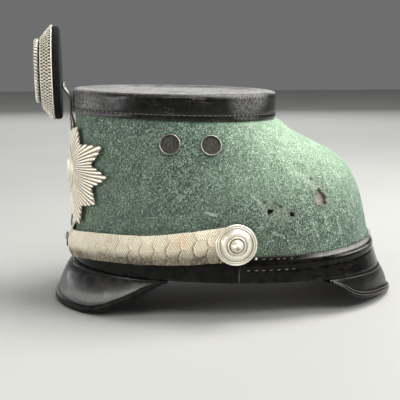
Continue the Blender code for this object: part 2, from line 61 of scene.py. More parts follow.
# height, y of the front, y of the widest point, y of the rear, half width
CROWN = (
    (1.5, -91.3, 18.0, 130.6, 84.9),
    (10.0, -91.5, 18.0, 127.4, 84.2),
    (17.0, -91.7, 17.5, 125.2, 83.5),
    (25.0, -91.9, 16.5, 123.2, 82.7),
    (36.0, -92.0, 15.0, 120.6, 81.3),
    (50.0, -92.2, 12.0, 117.0, 79.2),
    (62.0, -92.4, 8.0, 112.4, 76.8),
    (72.0, -92.6, 4.0, 105.8, 74.4),
    (80.5, -92.8, 0.0, 95.4, 72.0),
    (89.0, -93.0, -6.0, 79.2, 69.3),
    (97.0, -93.2, -12.5, 62.2, 66.1),
    (103.6, -93.3, -18.0, 54.4, 63.3),
    (105.4, -93.2, -21.9, 49.4, 61.6),
    (118.0, -93.2, -21.9, 49.4, 61.6),
)


def smooth_table(rows, count=1400):
    """A table through the rows by a curve that never overshoots, at many even steps."""
    rows = np.array(rows, float)
    x, y = rows[:, 0], rows[:, 1:]
    h = np.diff(x)[:, None]
    d = np.diff(y, axis=0) / h
    m = np.zeros_like(y)
    m[0], m[-1] = d[0], d[-1]
    for k in range(1, len(x) - 1):
        a, b = d[k - 1], d[k]
        same = a * b > 0
        m[k] = np.where(same, 2 * a * b / np.where(same, a + b, 1), 0)
    at = np.linspace(x[0], x[-1], count)
    i = np.clip(np.searchsorted(x, at, side="right") - 1, 0, len(x) - 2)
    t = ((at - x[i]) / h[i, 0])[:, None]
    y0, y1, m0, m1 = y[i], y[i + 1], m[i] * h[i], m[i + 1] * h[i]
    out = y0 * (2 * t**3 - 3 * t**2 + 1) + m0 * (t**3 - 2 * t**2 + t) + y1 * (3 * t**2 - 2 * t**3) + m1 * (t**3 - t**2)
    return at, out


CROWN_AT, CROWN_ROWS = smooth_table(CROWN)


def look_up(table, x):
    at, rows = table
    return [np.interp(x, at, rows[:, c]) for c in range(rows.shape[1])]


def crown(angle, height):
    """Outer face of the felt, arrays in and an array of points out. Angle 0 is the wearer's left, a quarter turn the rear."""
    angle, height = np.broadcast_arrays(np.asarray(angle, float), np.asarray(height, float))
    front, middle, rear, half = look_up((CROWN_AT, CROWN_ROWS), height)
    c, s = np.cos(angle), np.sin(angle)
    c = np.sign(c) * np.abs(c) ** (2 / POWER)
    s = np.sign(s) * np.abs(s) ** (2 / POWER)
    y = middle + np.where(s > 0, rear - middle, middle - front) * s
    return np.stack([half * c, y, height], -1)


def crown_normal(angle, height, level=False):
    angle, height = np.broadcast_arrays(np.asarray(angle, float), np.asarray(height, float))
    low, high = np.maximum(height - 0.4, CROWN[0][0]), np.minimum(height + 0.4, CROWN[-1][0])
    around = crown(angle + 0.02, height) - crown(angle - 0.02, height)
    up = crown(angle, high) - crown(angle, low)
    n = np.cross(around, up)
    if level:
        n[..., 2] = 0
    return n / np.linalg.norm(n, axis=-1, keepdims=True)


def off_crown(angle, height, out, level=False):
    out = np.asarray(out, float)
    return crown(angle, height) + crown_normal(angle, height, level) * out[..., None]


def angle_at_y(target, height, low=-math.pi / 2, high=math.pi / 2):
    for _ in range(50):
        mid = (low + high) / 2
        if crown(mid, height)[1] < target:
            low = mid
        else:
            high = mid
    return (low + high) / 2


def arc_table(height, out):
    """Distance round from the front against angle, on a level line that stands out from the crown."""
    angle = np.linspace(-math.pi / 2, math.pi / 2, 4000)
    p = off_crown(angle, np.full_like(angle, height), np.full_like(angle, out), True)
    gone = np.concatenate([[0], np.cumsum(np.linalg.norm(np.diff(p, axis=0), axis=1))])
    return gone, angle


def world(p):
    """From the hat's frame in millimetres to the scene in metres."""
    p = np.asarray(p, float)
    c, s = math.cos(TILT), math.sin(TILT)
    return np.stack([p[..., 0], p[..., 1] * c + p[..., 2] * s + SHIFT_Y, -p[..., 1] * s + p[..., 2] * c + BASE_RISE], -1) * 0.001


def table_height(p):
    return BASE_RISE - p[..., 1] * math.sin(TILT) + p[..., 2] * math.cos(TILT)


def rested(p):
    """Points under the table moved up to it."""
    over = table_height(p)
    q = p.copy()
    q[..., 2] -= np.minimum(over, 0) / math.cos(TILT)
    return q


def seeded(number):
    return np.random.default_rng(number)


def value_noise(points, size, seed, octaves=3):
    """Smooth noise of about -1 to 1 at points in millimetres."""
    rng = seeded(seed)
    total, weight = np.zeros(points.shape[:-1]), 0.0
    for o in range(octaves):
        table = rng.uniform(-1, 1, (32, 32, 32))
        q = points / (size / 2**o) + rng.uniform(0, 32, 3)
        i = np.floor(q).astype(int)
        f = q - i
        f = f * f * (3 - 2 * f)
        i %= 32
        j = (i + 1) % 32
        v = 0
        for a in (0, 1):
            for b in (0, 1):
                for c in (0, 1):
                    w = (f[..., 0] if a else 1 - f[..., 0]) * (f[..., 1] if b else 1 - f[..., 1]) * (f[..., 2] if c else 1 - f[..., 2])
                    v = v + w * table[(j if a else i)[..., 0], (j if b else i)[..., 1], (j if c else i)[..., 2]]
        total += v / 2**o
        weight += 1 / 2**o
    return total / weight


# ================================================================================================
# meshes
# ================================================================================================
def mesh_piece(name, verts, faces, material, sharp=None, attributes=None, faces3=None, replaces=()):
    """A piece from arrays: vertices in the hat's frame, quads and, if need be, triangles."""
    data = bpy.data.meshes.new(name)
    v = world(np.asarray(verts).reshape(-1, 3))
    quads = np.asarray(faces, int).reshape(-1, 4)
    tris = np.asarray(faces3, int).reshape(-1, 3) if faces3 is not None and len(faces3) else np.zeros((0, 3), int)
    data.vertices.add(len(v))
    data.vertices.foreach_set("co", v.astype(np.float32).ravel())
    loops = np.concatenate([quads.ravel(), tris.ravel()])
    data.loops.add(len(loops))
    data.loops.foreach_set("vertex_index", loops.astype(np.int32))
    starts = np.concatenate([np.arange(len(quads)) * 4, len(quads) * 4 + np.arange(len(tris)) * 3])
    data.polygons.add(len(starts))
    data.polygons.foreach_set("loop_start", starts.astype(np.int32))
    data.update(calc_edges=True)
    data.validate()
    data.polygons.foreach_set("use_smooth", np.ones(len(data.polygons), bool))
    for key, values in (attributes or {}).items():
        made = data.attributes.new(key, "FLOAT", "POINT")
        made.data.foreach_set("value", np.asarray(values, np.float32).ravel())
    if sharp is not None:
        data.set_sharp_from_angle(angle=math.radians(sharp))
    data.materials.append(material)
    piece = bpy.data.objects.new(name, data)
    bpy.context.scene.collection.objects.link(piece)
    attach(piece, "root")
    if replaces:
        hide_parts(*replaces)
    return piece


def grid_faces(rows, columns, wrap_columns=False, wrap_rows=False, start=0, flip=False):
    i = np.arange(rows if wrap_rows else rows - 1)[:, None]
    j = np.arange(columns if wrap_columns else columns - 1)[None, :]
    i2, j2 = (i + 1) % rows, (j + 1) % columns
    f = np.stack([i * columns + j, i * columns + j2, i2 * columns + j2, i2 * columns + j], -1).reshape(-1, 4) + start
    return f[:, ::-1] if flip else f


class Builder:
    """Collects parts of one piece."""

    def __init__(self):
        self.v, self.f, self.t, self.a, self.n = [], [], [], [], 0

    def add(self, verts, faces, value=0.0, tris=None):
        verts = np.asarray(verts, float).reshape(-1, 3)
        self.v.append(verts)
        if len(faces):
            self.f.append(np.asarray(faces, int) + self.n)
        if tris is not None and len(tris):
            self.t.append(np.asarray(tris, int) + self.n)
        self.a.append(np.broadcast_to(np.asarray(value, float).ravel() if np.ndim(value) else float(value), (len(verts),)))
        self.n += len(verts)

    def grid(self, p, wrap_columns=False, wrap_rows=False, flip=False, value=0.0, caps=False):
        """p has rows, columns, 3. Caps close both ends of a tube of rings with a fan."""
        rows, columns = p.shape[:2]
        self.add(p, grid_faces(rows, columns, wrap_columns, wrap_rows, 0, flip), value)
        if caps:
            base = self.n - rows * columns
            for ring, other in ((0, True), (rows - 1, False)):
                centre = p[ring].mean(0)
                k = np.arange(columns)
                tri = np.stack([base + ring * columns + k, base + ring * columns + (k + 1) % columns, np.full(columns, self.n)], -1)
                if other != flip:
                    tri = tri[:, ::-1]
                last = value if not np.ndim(value) else float(np.asarray(value).ravel()[ring * columns])
                self.v.append(centre[None])
                self.a.append(np.array([last], float))
                self.t.append(tri)
                self.n += 1

    def piece(self, name, material, slot, sharp=None, replaces=(), attribute="mark"):
        verts = np.concatenate(self.v)
        faces = np.concatenate(self.f) if self.f else np.zeros((0, 4), int)
        tris = np.concatenate(self.t) if self.t else None
        return mesh_piece(name, verts, faces, material, sharp, {attribute: np.concatenate(self.a)}, tris, replaces)


def frames_along(points, closed=False):
    """Tangent and two cross directions along a line of points."""
    if closed:
        tangent = np.roll(points, -1, 0) - np.roll(points, 1, 0)
    else:
        tangent = np.gradient(points, axis=0)
    tangent /= np.linalg.norm(tangent, axis=1, keepdims=True)
    first = np.cross(tangent[0], [0.3, 0.5, 0.8])
    first /= np.linalg.norm(first)
    across = [first]
    for k in range(1, len(points)):
        a = across[-1] - tangent[k] * np.dot(across[-1], tangent[k])
        across.append(a / np.linalg.norm(a))
    across = np.array(across)
    return tangent, across, np.cross(tangent, across)


def tube(points, radius, sides=8, closed=False):
    """Rings round a line; radius is one number or one for each point."""
    points = np.asarray(points, float)
    _, a, b = frames_along(points, closed)
    turn = np.linspace(0, 2 * math.pi, sides, endpoint=False)
    r = np.broadcast_to(np.asarray(radius, float), (len(points),))[:, None, None]
    return points[:, None] + r * (np.cos(turn)[None, :, None] * a[:, None] + np.sin(turn)[None, :, None] * b[:, None])


def beads(centres, along, across, normal, sizes, sides=8, rows=5, value=0.0, into=None):
    """Many small capsules in one go: centres, three directions each, and three half sizes."""
    u = np.linspace(0, math.pi, rows + 2)[1:-1]
    w = np.linspace(0, 2 * math.pi, sides, endpoint=False)
    unit = np.stack(
        [np.broadcast_to(np.cos(u)[:, None], (rows, sides)), np.sin(u)[:, None] * np.cos(w)[None], np.sin(u)[:, None] * np.sin(w)[None]], -1
    ).reshape(-1, 3)
    unit = np.concatenate([unit, [[1, 0, 0], [-1, 0, 0]]])
    faces = grid_faces(rows, sides, True)
    k = np.arange(sides)
    top = np.stack([k, (k + 1) % sides, np.full(sides, rows * sides)], -1)[:, ::-1]
    last = (rows - 1) * sides
    low = np.stack([last + k, last + (k + 1) % sides, np.full(sides, rows * sides + 1)], -1)
    n, m = len(centres), len(unit)
    s = np.broadcast_to(np.asarray(sizes, float), (n, 3))
    p = (
        centres[:, None]
        + unit[None, :, 0:1] * (along * s[:, 0:1])[:, None]
        + unit[None, :, 1:2] * (across * s[:, 1:2])[:, None]
        + unit[None, :, 2:3] * (normal * s[:, 2:3])[:, None]
    )
    step = (np.arange(n) * m)[:, None, None]
    value = np.repeat(np.broadcast_to(np.asarray(value, float), (n,)), m)
    into.add(p.reshape(-1, 3), (faces[None] + step).reshape(-1, 4), value, np.concatenate([(top[None] + step).reshape(-1, 3), (low[None] + step).reshape(-1, 3)]))


# ================================================================================================
# materials
# ================================================================================================
class Finish:
    """A Principled material and short ways to add procedural detail; sizes are in millimetres."""

    def __init__(self, name, colour, roughness, metallic=0.0, **sockets):
        self.m = bpy.data.materials.new(name)
        self.m.use_nodes = True
        self.t = self.m.node_tree
        self.shader = self.t.nodes["Principled BSDF"]
        self.shader.inputs["Base Color"].default_value = (*colour, 1)
        self.shader.inputs["Roughness"].default_value = roughness
        self.shader.inputs["Metallic"].default_value = metallic
        for key, value in sockets.items():
            self.shader.inputs[key.replace("_", " ")].default_value = value
        self.coords = self.node("ShaderNodeTexCoord").outputs["Object"]
        self.normal = None

    def node(self, kind, **values):
        made = self.t.nodes.new(kind)
        for key, value in values.items():
            setattr(made, key, value)
        return made

    def link(self, a, b):
        self.t.links.new(a, b)

    def put(self, socket, value):
        if hasattr(value, "is_linked") or hasattr(value, "links"):
            self.link(value, socket)
        else:
            socket.default_value = value

    def stretched(self, scale=(1, 1, 1), turn=(0, 0, 0), source=None):
        made = self.node("ShaderNodeMapping")
        self.link(source or self.coords, made.inputs["Vector"])
        made.inputs["Scale"].default_value = scale
        made.inputs["Rotation"].default_value = turn
        return made.outputs[0]

    def noise(self, size, detail=3.0, rough=0.55, warp=0.0, source=None):
        made = self.node("ShaderNodeTexNoise")
        self.link(source or self.coords, made.inputs["Vector"])
        made.inputs["Scale"].default_value = 1000.0 / size
        made.inputs["Detail"].default_value = detail
        made.inputs["Roughness"].default_value = rough
        made.inputs["Distortion"].default_value = warp
        return made.outputs["Fac"]

    def cells(self, size, feature="DISTANCE_TO_EDGE", random=1.0, source=None):
        made = self.node("ShaderNodeTexVoronoi", feature=feature)
        self.link(source or self.coords, made.inputs["Vector"])
        made.inputs["Scale"].default_value = 1000.0 / size
        made.inputs["Randomness"].default_value = random
        return made.outputs["Distance"]

    def warped(self, size, amount, source=None):
        """Coordinates pushed about by noise; amount in millimetres."""
        made = self.node("ShaderNodeTexNoise")
        self.link(source or self.coords, made.inputs["Vector"])
        made.inputs["Scale"].default_value = 1000.0 / size
        made.inputs["Detail"].default_value = 2.0
        centred = self.node("ShaderNodeVectorMath", operation="SUBTRACT")
        self.link(made.outputs["Color"], centred.inputs[0])
        centred.inputs[1].default_value = (0.5, 0.5, 0.5)
        scaled = self.node("ShaderNodeVectorMath", operation="SCALE")
        self.link(centred.outputs[0], scaled.inputs[0])
        scaled.inputs["Scale"].default_value = amount * 0.002
        added = self.node("ShaderNodeVectorMath", operation="ADD")
        self.link(source or self.coords, added.inputs[0])
        self.link(scaled.outputs[0], added.inputs[1])
        return added.outputs[0]

    def attribute(self, name):
        made = self.node("ShaderNodeAttribute", attribute_name=name)
        return made.outputs["Fac"]

    def up(self):
        """How far the surface faces upward, -1 to 1."""
        made = self.node("ShaderNodeNewGeometry")
        split = self.node("ShaderNodeSeparateXYZ")
        self.link(made.outputs["Normal"], split.inputs[0])
        return split.outputs["Z"]

    def axis(self, which):
        split = self.node("ShaderNodeSeparateXYZ")
        self.link(self.coords, split.inputs[0])
        return split.outputs[which]

    def math(self, operation, a, b=0.0, c=0.0, clamp=False):
        made = self.node("ShaderNodeMath", operation=operation, use_clamp=clamp)
        self.put(made.inputs[0], a)
        self.put(made.inputs[1], b)
        self.put(made.inputs[2], c)
        return made.outputs[0]

    def span(self, value, low, high, to_low=0.0, to_high=1.0, smooth=True):
        made = self.node("ShaderNodeMapRange", interpolation_type="SMOOTHSTEP" if smooth else "LINEAR")
        self.put(made.inputs["Value"], value)
        made.inputs["From Min"].default_value = low
        made.inputs["From Max"].default_value = high
        made.inputs["To Min"].default_value = to_low
        made.inputs["To Max"].default_value = to_high
        return made.outputs["Result"]

    def mix(self, share, a, b, mode="MIX"):
        made = self.node("ShaderNodeMix", data_type="RGBA", blend_type=mode, clamp_factor=True)
        self.put(made.inputs[0], share)
        for socket, value in ((made.inputs[6], a), (made.inputs[7], b)):
            if isinstance(value, tuple):
                socket.default_value = (*value, 1)
            else:
                self.link(value, socket)
        return made.outputs[2]

    def ramp(self, value, stops):
        made = self.node("ShaderNodeValToRGB")
        self.link(value, made.inputs[0])
        band = made.color_ramp
        while len(band.elements) > 2:
            band.elements.remove(band.elements[-1])
        for k, (at, colour) in enumerate(stops):
            e = band.elements[k] if k < 2 else band.elements.new(at)
            e.position = at
            e.color = (*colour, 1)
        return made.outputs["Color"]

    def near(self, x, y, z, radius, soft, table=False):
        """1 within the radius of a point of the hat's frame (or the table's), fading to 0."""
        at = np.array([x, y, z], float) * 0.001 if table else world(np.array([x, y, z], float))
        made = self.node("ShaderNodeVectorMath", operation="DISTANCE")
        self.link(self.coords, made.inputs[0])
        made.inputs[1].default_value = tuple(float(v) for v in at)
        return self.span(made.outputs["Value"], (radius + soft) * 0.001, radius * 0.001)

    def vector(self, operation, a, b=None, scale=None):
        made = self.node("ShaderNodeVectorMath", operation=operation)
        for socket, value in ((made.inputs[0], a), (made.inputs[1], b)):
            if value is None:
                continue
            if isinstance(value, tuple):
                socket.default_value = value
            else:
                self.link(value, socket)
        if scale is not None:
            self.put(made.inputs["Scale"], scale)
        return made.outputs["Value" if operation in ("DOT_PRODUCT", "LENGTH") else "Vector"]

    def streak(self, start, end, half, soft, table=False):
        """1 within half of a line between two points of the hat's frame (or the table's), fading to 0."""
        a, b = (np.array(p, float) * 0.001 if table else world(np.array(p, float)) for p in (start, end))
        run = b - a
        run = tuple(float(v) for v in run)
        offset = self.vector("SUBTRACT", self.coords, tuple(float(v) for v in a))
        share = self.math("DIVIDE", self.vector("DOT_PRODUCT", offset, run), float(np.dot(run, run)), clamp=True)
        made = self.node("ShaderNodeVectorMath", operation="SCALE")
        made.inputs[0].default_value = run
        self.link(share, made.inputs["Scale"])
        away = self.vector("LENGTH", self.vector("SUBTRACT", offset, made.outputs["Vector"]))
        return self.span(away, (half + soft) * 0.001, half * 0.001)

    def bump(self, height, depth, strength=1.0):
        """Depth in millimetres at height 1."""
        made = self.node("ShaderNodeBump")
        made.inputs["Strength"].default_value = strength
        made.inputs["Distance"].default_value = depth * 0.001
        self.link(height, made.inputs["Height"])
        if self.normal is not None:
            self.link(self.normal, made.inputs["Normal"])
        self.normal = made.outputs[0]
        self.link(self.normal, self.shader.inputs["Normal"])

    def colour(self, socket):
        self.link(socket, self.shader.inputs["Base Color"])

    def rough(self, socket):
        self.link(socket, self.shader.inputs["Roughness"])


# pale streaks where the nap is scored: both ends in the hat's frame, and the half width
STREAKS = (
    ((80.0, 55.5, 71.5), (66.0, 73.5, 60.0), 0.55),
    ((66.0, 82.0, 72.0), (54.0, 92.0, 61.0), 0.6),
    ((78.5, 24.5, 58.5), (78.2, 30.5, 54.0), 0.5),
    ((80.0, -12.0, 49.0), (79.0, 2.0, 44.0), 0.5),
)
# the fainter ones, in the table's frame
RUBS = (
    ((77.0, 15.0, 84.0), (77.0, 21.0, 79.0), 0.8),
    ((78.0, 21.0, 77.0), (78.0, 25.0, 73.0), 0.8),
    ((65.0, 67.0, 69.0), (66.0, 70.0, 58.0), 0.6),
    ((41.0, 91.0, 80.0), (43.0, 93.0, 70.0), 0.6),
    ((46.0, 75.0, 99.0), (45.0, 82.0, 92.0), 0.7),
    ((66.0, 44.0, 98.0), (64.0, 53.0, 95.0), 1.2),
    ((65.0, 53.0, 92.0), (61.0, 64.0, 86.0), 1.0),
    ((60.0, 78.0, 65.0), (61.0, 79.0, 55.0), 0.6),
    ((71.0, 57.0, 65.0), (71.0, 62.0, 55.0), 0.6),
    ((80.0, 29.0, 60.0), (79.0, 37.0, 56.0), 0.7),
)


def felt_finish():
    f = Finish("felt_nap", (0.2, 0.28, 0.21), 0.95, Sheen_Weight=0.3, Sheen_Roughness=0.4, Specular_IOR_Level=0.12)
    f.shader.inputs["Sheen Tint"].default_value = (0.72, 0.95, 0.78, 1)
    warped = f.warped(2.6, 1.1)
    fibre_a = f.noise(0.92, 2.5, 0.6, 0.5, f.stretched((1, 0.42, 1.5), (0.5, 0.2, 0.3), warped))
    fibre_b = f.noise(0.88, 2.5, 0.6, 0.5, f.stretched((1.2, 1.4, 0.42), (-0.4, 0.6, 0.9), warped))
    grain = f.noise(1.0, 2, 0.55)
    mottle = f.noise(6.5, 3, 0.6)
    broad = f.noise(38.0, 2, 0.5)
    fibres = f.math("MAXIMUM", fibre_a, fibre_b)
    blend = f.math("MULTIPLY_ADD", fibres, 0.56, f.math("MULTIPLY_ADD", grain, 0.32, f.math("MULTIPLY", mottle, 0.12)))
    tone = f.ramp(
        blend,
        (
            (0.43, (0.017, 0.029, 0.023)),
            (0.505, (0.066, 0.098, 0.074)),
            (0.555, (0.150, 0.208, 0.158)),
            (0.605, (0.305, 0.405, 0.310)),
            (0.68, (0.60, 0.76, 0.60)),
        ),
    )
    tone = f.mix(f.span(broad, 0.35, 0.65, 0.0, 0.25), tone, (0.165, 0.225, 0.170))
    # painted light: paler towards the rear and top, where the light falls on the hat; darker in patches low down
    height, along = f.axis("Z"), f.axis("Y")
    pale = f.math("MULTIPLY", f.span(height, 0.055, 0.125), f.span(along, -0.03, 0.06))
    tone = f.mix(f.math("MULTIPLY", pale, 0.88), tone, f.ramp(blend, ((0.43, (0.13, 0.20, 0.14)), (0.55, (0.40, 0.55, 0.40)), (0.65, (0.70, 0.87, 0.68)))))
    low_darkening = f.math("MULTIPLY", f.span(f.noise(14.0, 4, 0.6), 0.42, 0.75), f.span(height, 0.10, 0.045, 0.1, 0.45))
    tone = f.mix(low_darkening, tone, (0.045, 0.060, 0.045))
    # grazed cloth round the moth damage, painted shade in the deepest pits, and pale scores
    tone = f.mix(f.math("MULTIPLY", f.attribute("mark"), f.span(f.noise(1.6, 3, 0.6), 0.36, 0.6, 0.25, 0.85)), tone, (0.20, 0.195, 0.165))
    tone = f.mix(f.attribute("pit_shade"), tone, (0.006, 0.007, 0.006))
    for a, b, half in STREAKS:
        line = f.math("MULTIPLY", f.streak(a, b, half, 0.8), f.span(grain, 0.4, 0.6, 0.2, 0.75))
        tone = f.mix(line, tone, (0.55, 0.66, 0.50))
    for a, b, half in RUBS:
        line = f.math("MULTIPLY", f.streak(a, b, half * 0.8, 1.2, True), f.span(grain, 0.4, 0.6, 0.05, 0.40))
        tone = f.mix(line, tone, (0.58, 0.69, 0.54))
    f.colour(tone)
    f.bump(fibres, 0.7, 0.85)
    f.bump(grain, 0.6, 0.5)
    f.bump(mottle, 0.9, 0.3)
    return f.m


def leather_finish(name, dust_and_sheen=0.0, crack=1.0, gloss=0.16, shine=0.34, grain=1.0, worn_and_sheen_patches=(), lines=(), highlight_tone=(0.27, 0.268, 0.255), coat=0.08):
    """Black patent leather: a glossy coat, fine grain, cracks in the varnish and rubbed places marked by the attribute.

    Over 1 the attribute marks a painted highlight: a paler, rougher strip of the colour given.
    """
    f = Finish(name, (0.004, 0.004, 0.004), gloss, Coat_Weight=coat, Coat_Roughness=0.06, Specular_IOR_Level=shine)
    warped = f.warped(6.0, 2.2)
    veins = f.cells(6.0, source=f.stretched((0.55, 0.55, 2.4), (0, 0, 0), warped))
    fine = f.cells(1.7, source=f.warped(2.0, 0.8))
    line = f.span(veins, 0.0, 0.045, 1.0, 0.0)
    fine_line = f.span(fine, 0.0, 0.09, 1.0, 0.0)
    where = f.span(f.noise(22.0, 3, 0.6), 0.47, 0.62)
    cracks = f.math("MULTIPLY", line, where)
    if worn_and_sheen_patches:
        # long thin lines where the varnish has crazed along the rim
        drift = f.noise(8.0, 2, 0.5, 0.3, f.stretched((0.3, 0.3, 1.5)))
        thin = f.span(f.math("ABSOLUTE", f.math("SUBTRACT", drift, 0.5)), 0.0, 0.011, 1.0, 0.0)
        cracks = f.math("MULTIPLY", thin, f.span(f.noise(13.0, 3, 0.6), 0.46, 0.6))
    small = f.math("MULTIPLY", fine_line, f.span(f.noise(12.0, 3, 0.6), 0.5, 0.68))
    worn = f.math("MINIMUM", f.attribute("mark"), 1.0)
    blotch = f.noise(7.0, 5, 0.65)
    scuff = f.noise(3.0, 5, 0.7, 0.5, f.stretched((0.35, 1.2, 1.0), (0, 0, 0.5)))
    rubbed = f.math("MULTIPLY", worn, f.span(blotch, 0.36, 0.62))
    base = f.mix(f.span(blotch, 0.3, 0.75), (0.002, 0.002, 0.002), (0.006, 0.0058, 0.0055))
    base = f.mix(f.math("MULTIPLY", rubbed, 0.6), base, (0.04, 0.035, 0.030))
    base = f.mix(f.math("MULTIPLY", cracks, 0.45 * crack), base, (0.20, 0.185, 0.16))
    for a, b, half in lines:
        base = f.mix(f.math("MULTIPLY", f.streak(a, b, half, 0.25, True), f.span(scuff, 0.3, 0.6, 0.25, 1.0)), base, (0.17, 0.165, 0.15))
    # painted highlight: where the attribute is over 1 the leather is painted paler and made rougher
    highlight_film = f.math("MULTIPLY", f.span(f.attribute("mark"), 1.0, 2.0), f.span(scuff, 0.25, 0.6, 0.6, 1.0))
    base = f.mix(highlight_film, base, highlight_tone)
    # grey, grainy patches on the lid's side: partly varnish bloomed by wear, partly a painted sheen
    dull = 0.0
    for x, y, z, radius, soft, much in worn_and_sheen_patches:
        haze = f.math("MULTIPLY", f.near(x, y, z, radius, soft, True), f.span(f.noise(1.5, 4, 0.65), 0.34, 0.66, 0.1, 1.0))
        base = f.mix(f.math("MULTIPLY", haze, much), base, (0.27, 0.265, 0.25))
        dull = f.math("MAXIMUM", dull, f.near(x, y, z, radius, soft, True))
    if dust_and_sheen:
        # the top is painted pale where it faces up, partly dusty and partly a painted sheen, rubbed through in streaks
        top = f.noise(3.0, 5, 0.72, 0.5, f.stretched((1.5, 0.28, 1.0), (0, 0, 0.12)))
        fleck = f.noise(1.7, 4, 0.7)
        ragged = f.math("ADD", f.up(), f.math("MULTIPLY_ADD", fleck, 1.5, -0.75))
        lying_dust_and_sheen = f.math("MULTIPLY", f.span(ragged, 0.45, 1.0), f.span(top, 0.36, 0.60, 0.30, 1.0))
        lying_dust_and_sheen = f.math("MULTIPLY", lying_dust_and_sheen, f.span(f.noise(26.0, 3, 0.6, 0.3, f.stretched((1.6, 0.5, 1.0))), 0.32, 0.58, 0.45, 1.0))
        base = f.mix(f.math("MULTIPLY", lying_dust_and_sheen, dust_and_sheen), base, (0.125, 0.121, 0.106))
        base = f.mix(f.math("MULTIPLY", f.span(fleck, 0.60, 0.70), 0.35), base, (0.05, 0.046, 0.04))
        # painted shade in the two dents on the top
        for x, y in ((8.0, -23.0), (20.0, -14.0)):
            base = f.mix(f.math("MULTIPLY", f.near(x, y, 122.0, 1.6, 3.4), 0.75), base, (0.03, 0.028, 0.024))
        flat = f.span(f.up(), 0.6, 0.95, 0.0, 0.14)
        f.rough(f.math("ADD", f.span(scuff, 0.3, 0.75, gloss, gloss + 0.2), f.math("MULTIPLY_ADD", dull, 0.22, flat)))
    else:
        f.rough(f.math("ADD", f.span(scuff, 0.3, 0.8, gloss - 0.02, gloss + 0.16 * grain), f.math("MULTIPLY_ADD", highlight_film, 0.2, f.math("MULTIPLY", rubbed, 0.2 * grain))))
    f.colour(base)
    f.bump(cracks, -0.22 * crack, 0.7)
    f.bump(small, -0.10 * crack, 0.6)
    f.bump(blotch, 0.35 * grain, 0.25)
    f.bump(f.noise(0.55, 3, 0.6), 0.05 * grain, 0.6)
    f.bump(f.noise(28.0, 2, 0.5), 1.6 if dust_and_sheen else 0.6, 0.35)
    if dust_and_sheen:
        # shallow creases that run across the top
        f.bump(f.math("MULTIPLY", top, f.span(f.up(), 0.7, 0.95)), 1.2, 0.6)
    return f.m


def metal_finish(name, colour, dark, roughness, metallic=1.0, engraved=False, stains=(), worn=1.0, even=0.55):
    """Aged silver: darker where the attribute marks a recess with tarnish, and where pieces set it for painted shade
    and reflections; with tarnish, dents and fine scratches.
    """
    f = Finish(name, colour, roughness, metallic)
    recess = f.attribute("mark")
    stain = f.noise(16.0, 4, 0.6)
    spots = f.noise(1.8, 4, 0.65)
    scratch = f.noise(1.2, 3, 0.6, 0.2, f.stretched((0.25, 1.4, 1.4), (0.2, 0.1, 0.7)))
    tone = f.mix(f.span(stain, 0.45, 0.75, 0.0, 0.55), colour, tuple(c * k for c, k in zip(colour, (0.94, 0.86, 0.76))))
    # darker by the attribute: tarnish in recesses, and painted shade and reflections where the chin scales and bosses
    # set it
    dirt_and_shade = f.math("MULTIPLY", recess, f.span(spots, 0.25, 0.6, even, 1.0))
    tone = f.mix(dirt_and_shade, tone, dark)
    tone = f.mix(f.math("MULTIPLY", f.span(spots, 0.6, 0.78), 0.35 * worn), tone, dark)
    for x, y, z, radius, soft, tint in stains:
        tone = f.mix(f.math("MULTIPLY", f.near(x, y, z, radius, soft, True), 0.75), tone, tint)
    if engraved:
        # fine crossed lines pressed into each scale
        along, across = f.attribute("along"), f.attribute("across")
        one = f.math("SINE", f.math("MULTIPLY", f.math("ADD", along, f.math("MULTIPLY", across, 0.6)), 4.3))
        two = f.math("SINE", f.math("MULTIPLY", f.math("SUBTRACT", along, f.math("MULTIPLY", across, 0.6)), 4.3))
        lines = f.math("MULTIPLY_ADD", one, 0.5, f.math("MULTIPLY", two, 0.5))
        cut = f.math("MULTIPLY", f.span(lines, 0.1, -0.7), f.span(f.noise(9.0, 3, 0.6), 0.34, 0.6, 0.34, 0.74))
        tone = f.mix(cut, tone, (0.30, 0.265, 0.20))
    f.colour(tone)
    f.rough(f.math("ADD", f.span(scratch, 0.3, 0.75, roughness - 0.07, roughness + 0.12), f.math("MULTIPLY", recess, 0.2)))
    f.bump(spots, 0.09 * worn, 0.5)
    f.bump(scratch, 0.06 * worn, 0.6)
    f.bump(f.noise(9.0, 2, 0.5), 0.45 * worn, 0.35)
    if engraved:
        f.bump(lines, 0.26, 1.0)
        f.bump(f.noise(5.0, 2, 0.5), 0.25, 0.5)
    return f.m


def wire_finish(name, colour):
    """Dull oxidised wire."""
    f = Finish(name, colour, 0.5, 0.45)
    spots = f.noise(1.2, 3, 0.6)
    f.colour(f.mix(f.span(spots, 0.4, 0.65), tuple(c * 0.55 for c in colour), tuple(min(1, c * 1.35) for c in colour)))
    f.bump(spots, 0.04, 0.4)
    return f.m


def cloth_finish(name, colour, pale):
    f = Finish(name, colour, 0.9, Sheen_Weight=0.04, Sheen_Roughness=0.5, Specular_IOR_Level=0.12)
    weave = f.noise(0.7, 3, 0.6)
    lint = f.noise(1.6, 4, 0.7)
    f.colour(f.mix(f.span(lint, 0.52, 0.75, 0.0, 0.6), colour, pale))
    f.bump(weave, 0.25, 0.8)
    f.bump(f.noise(4.0, 3, 0.6), 0.4, 0.4)
    return f.m


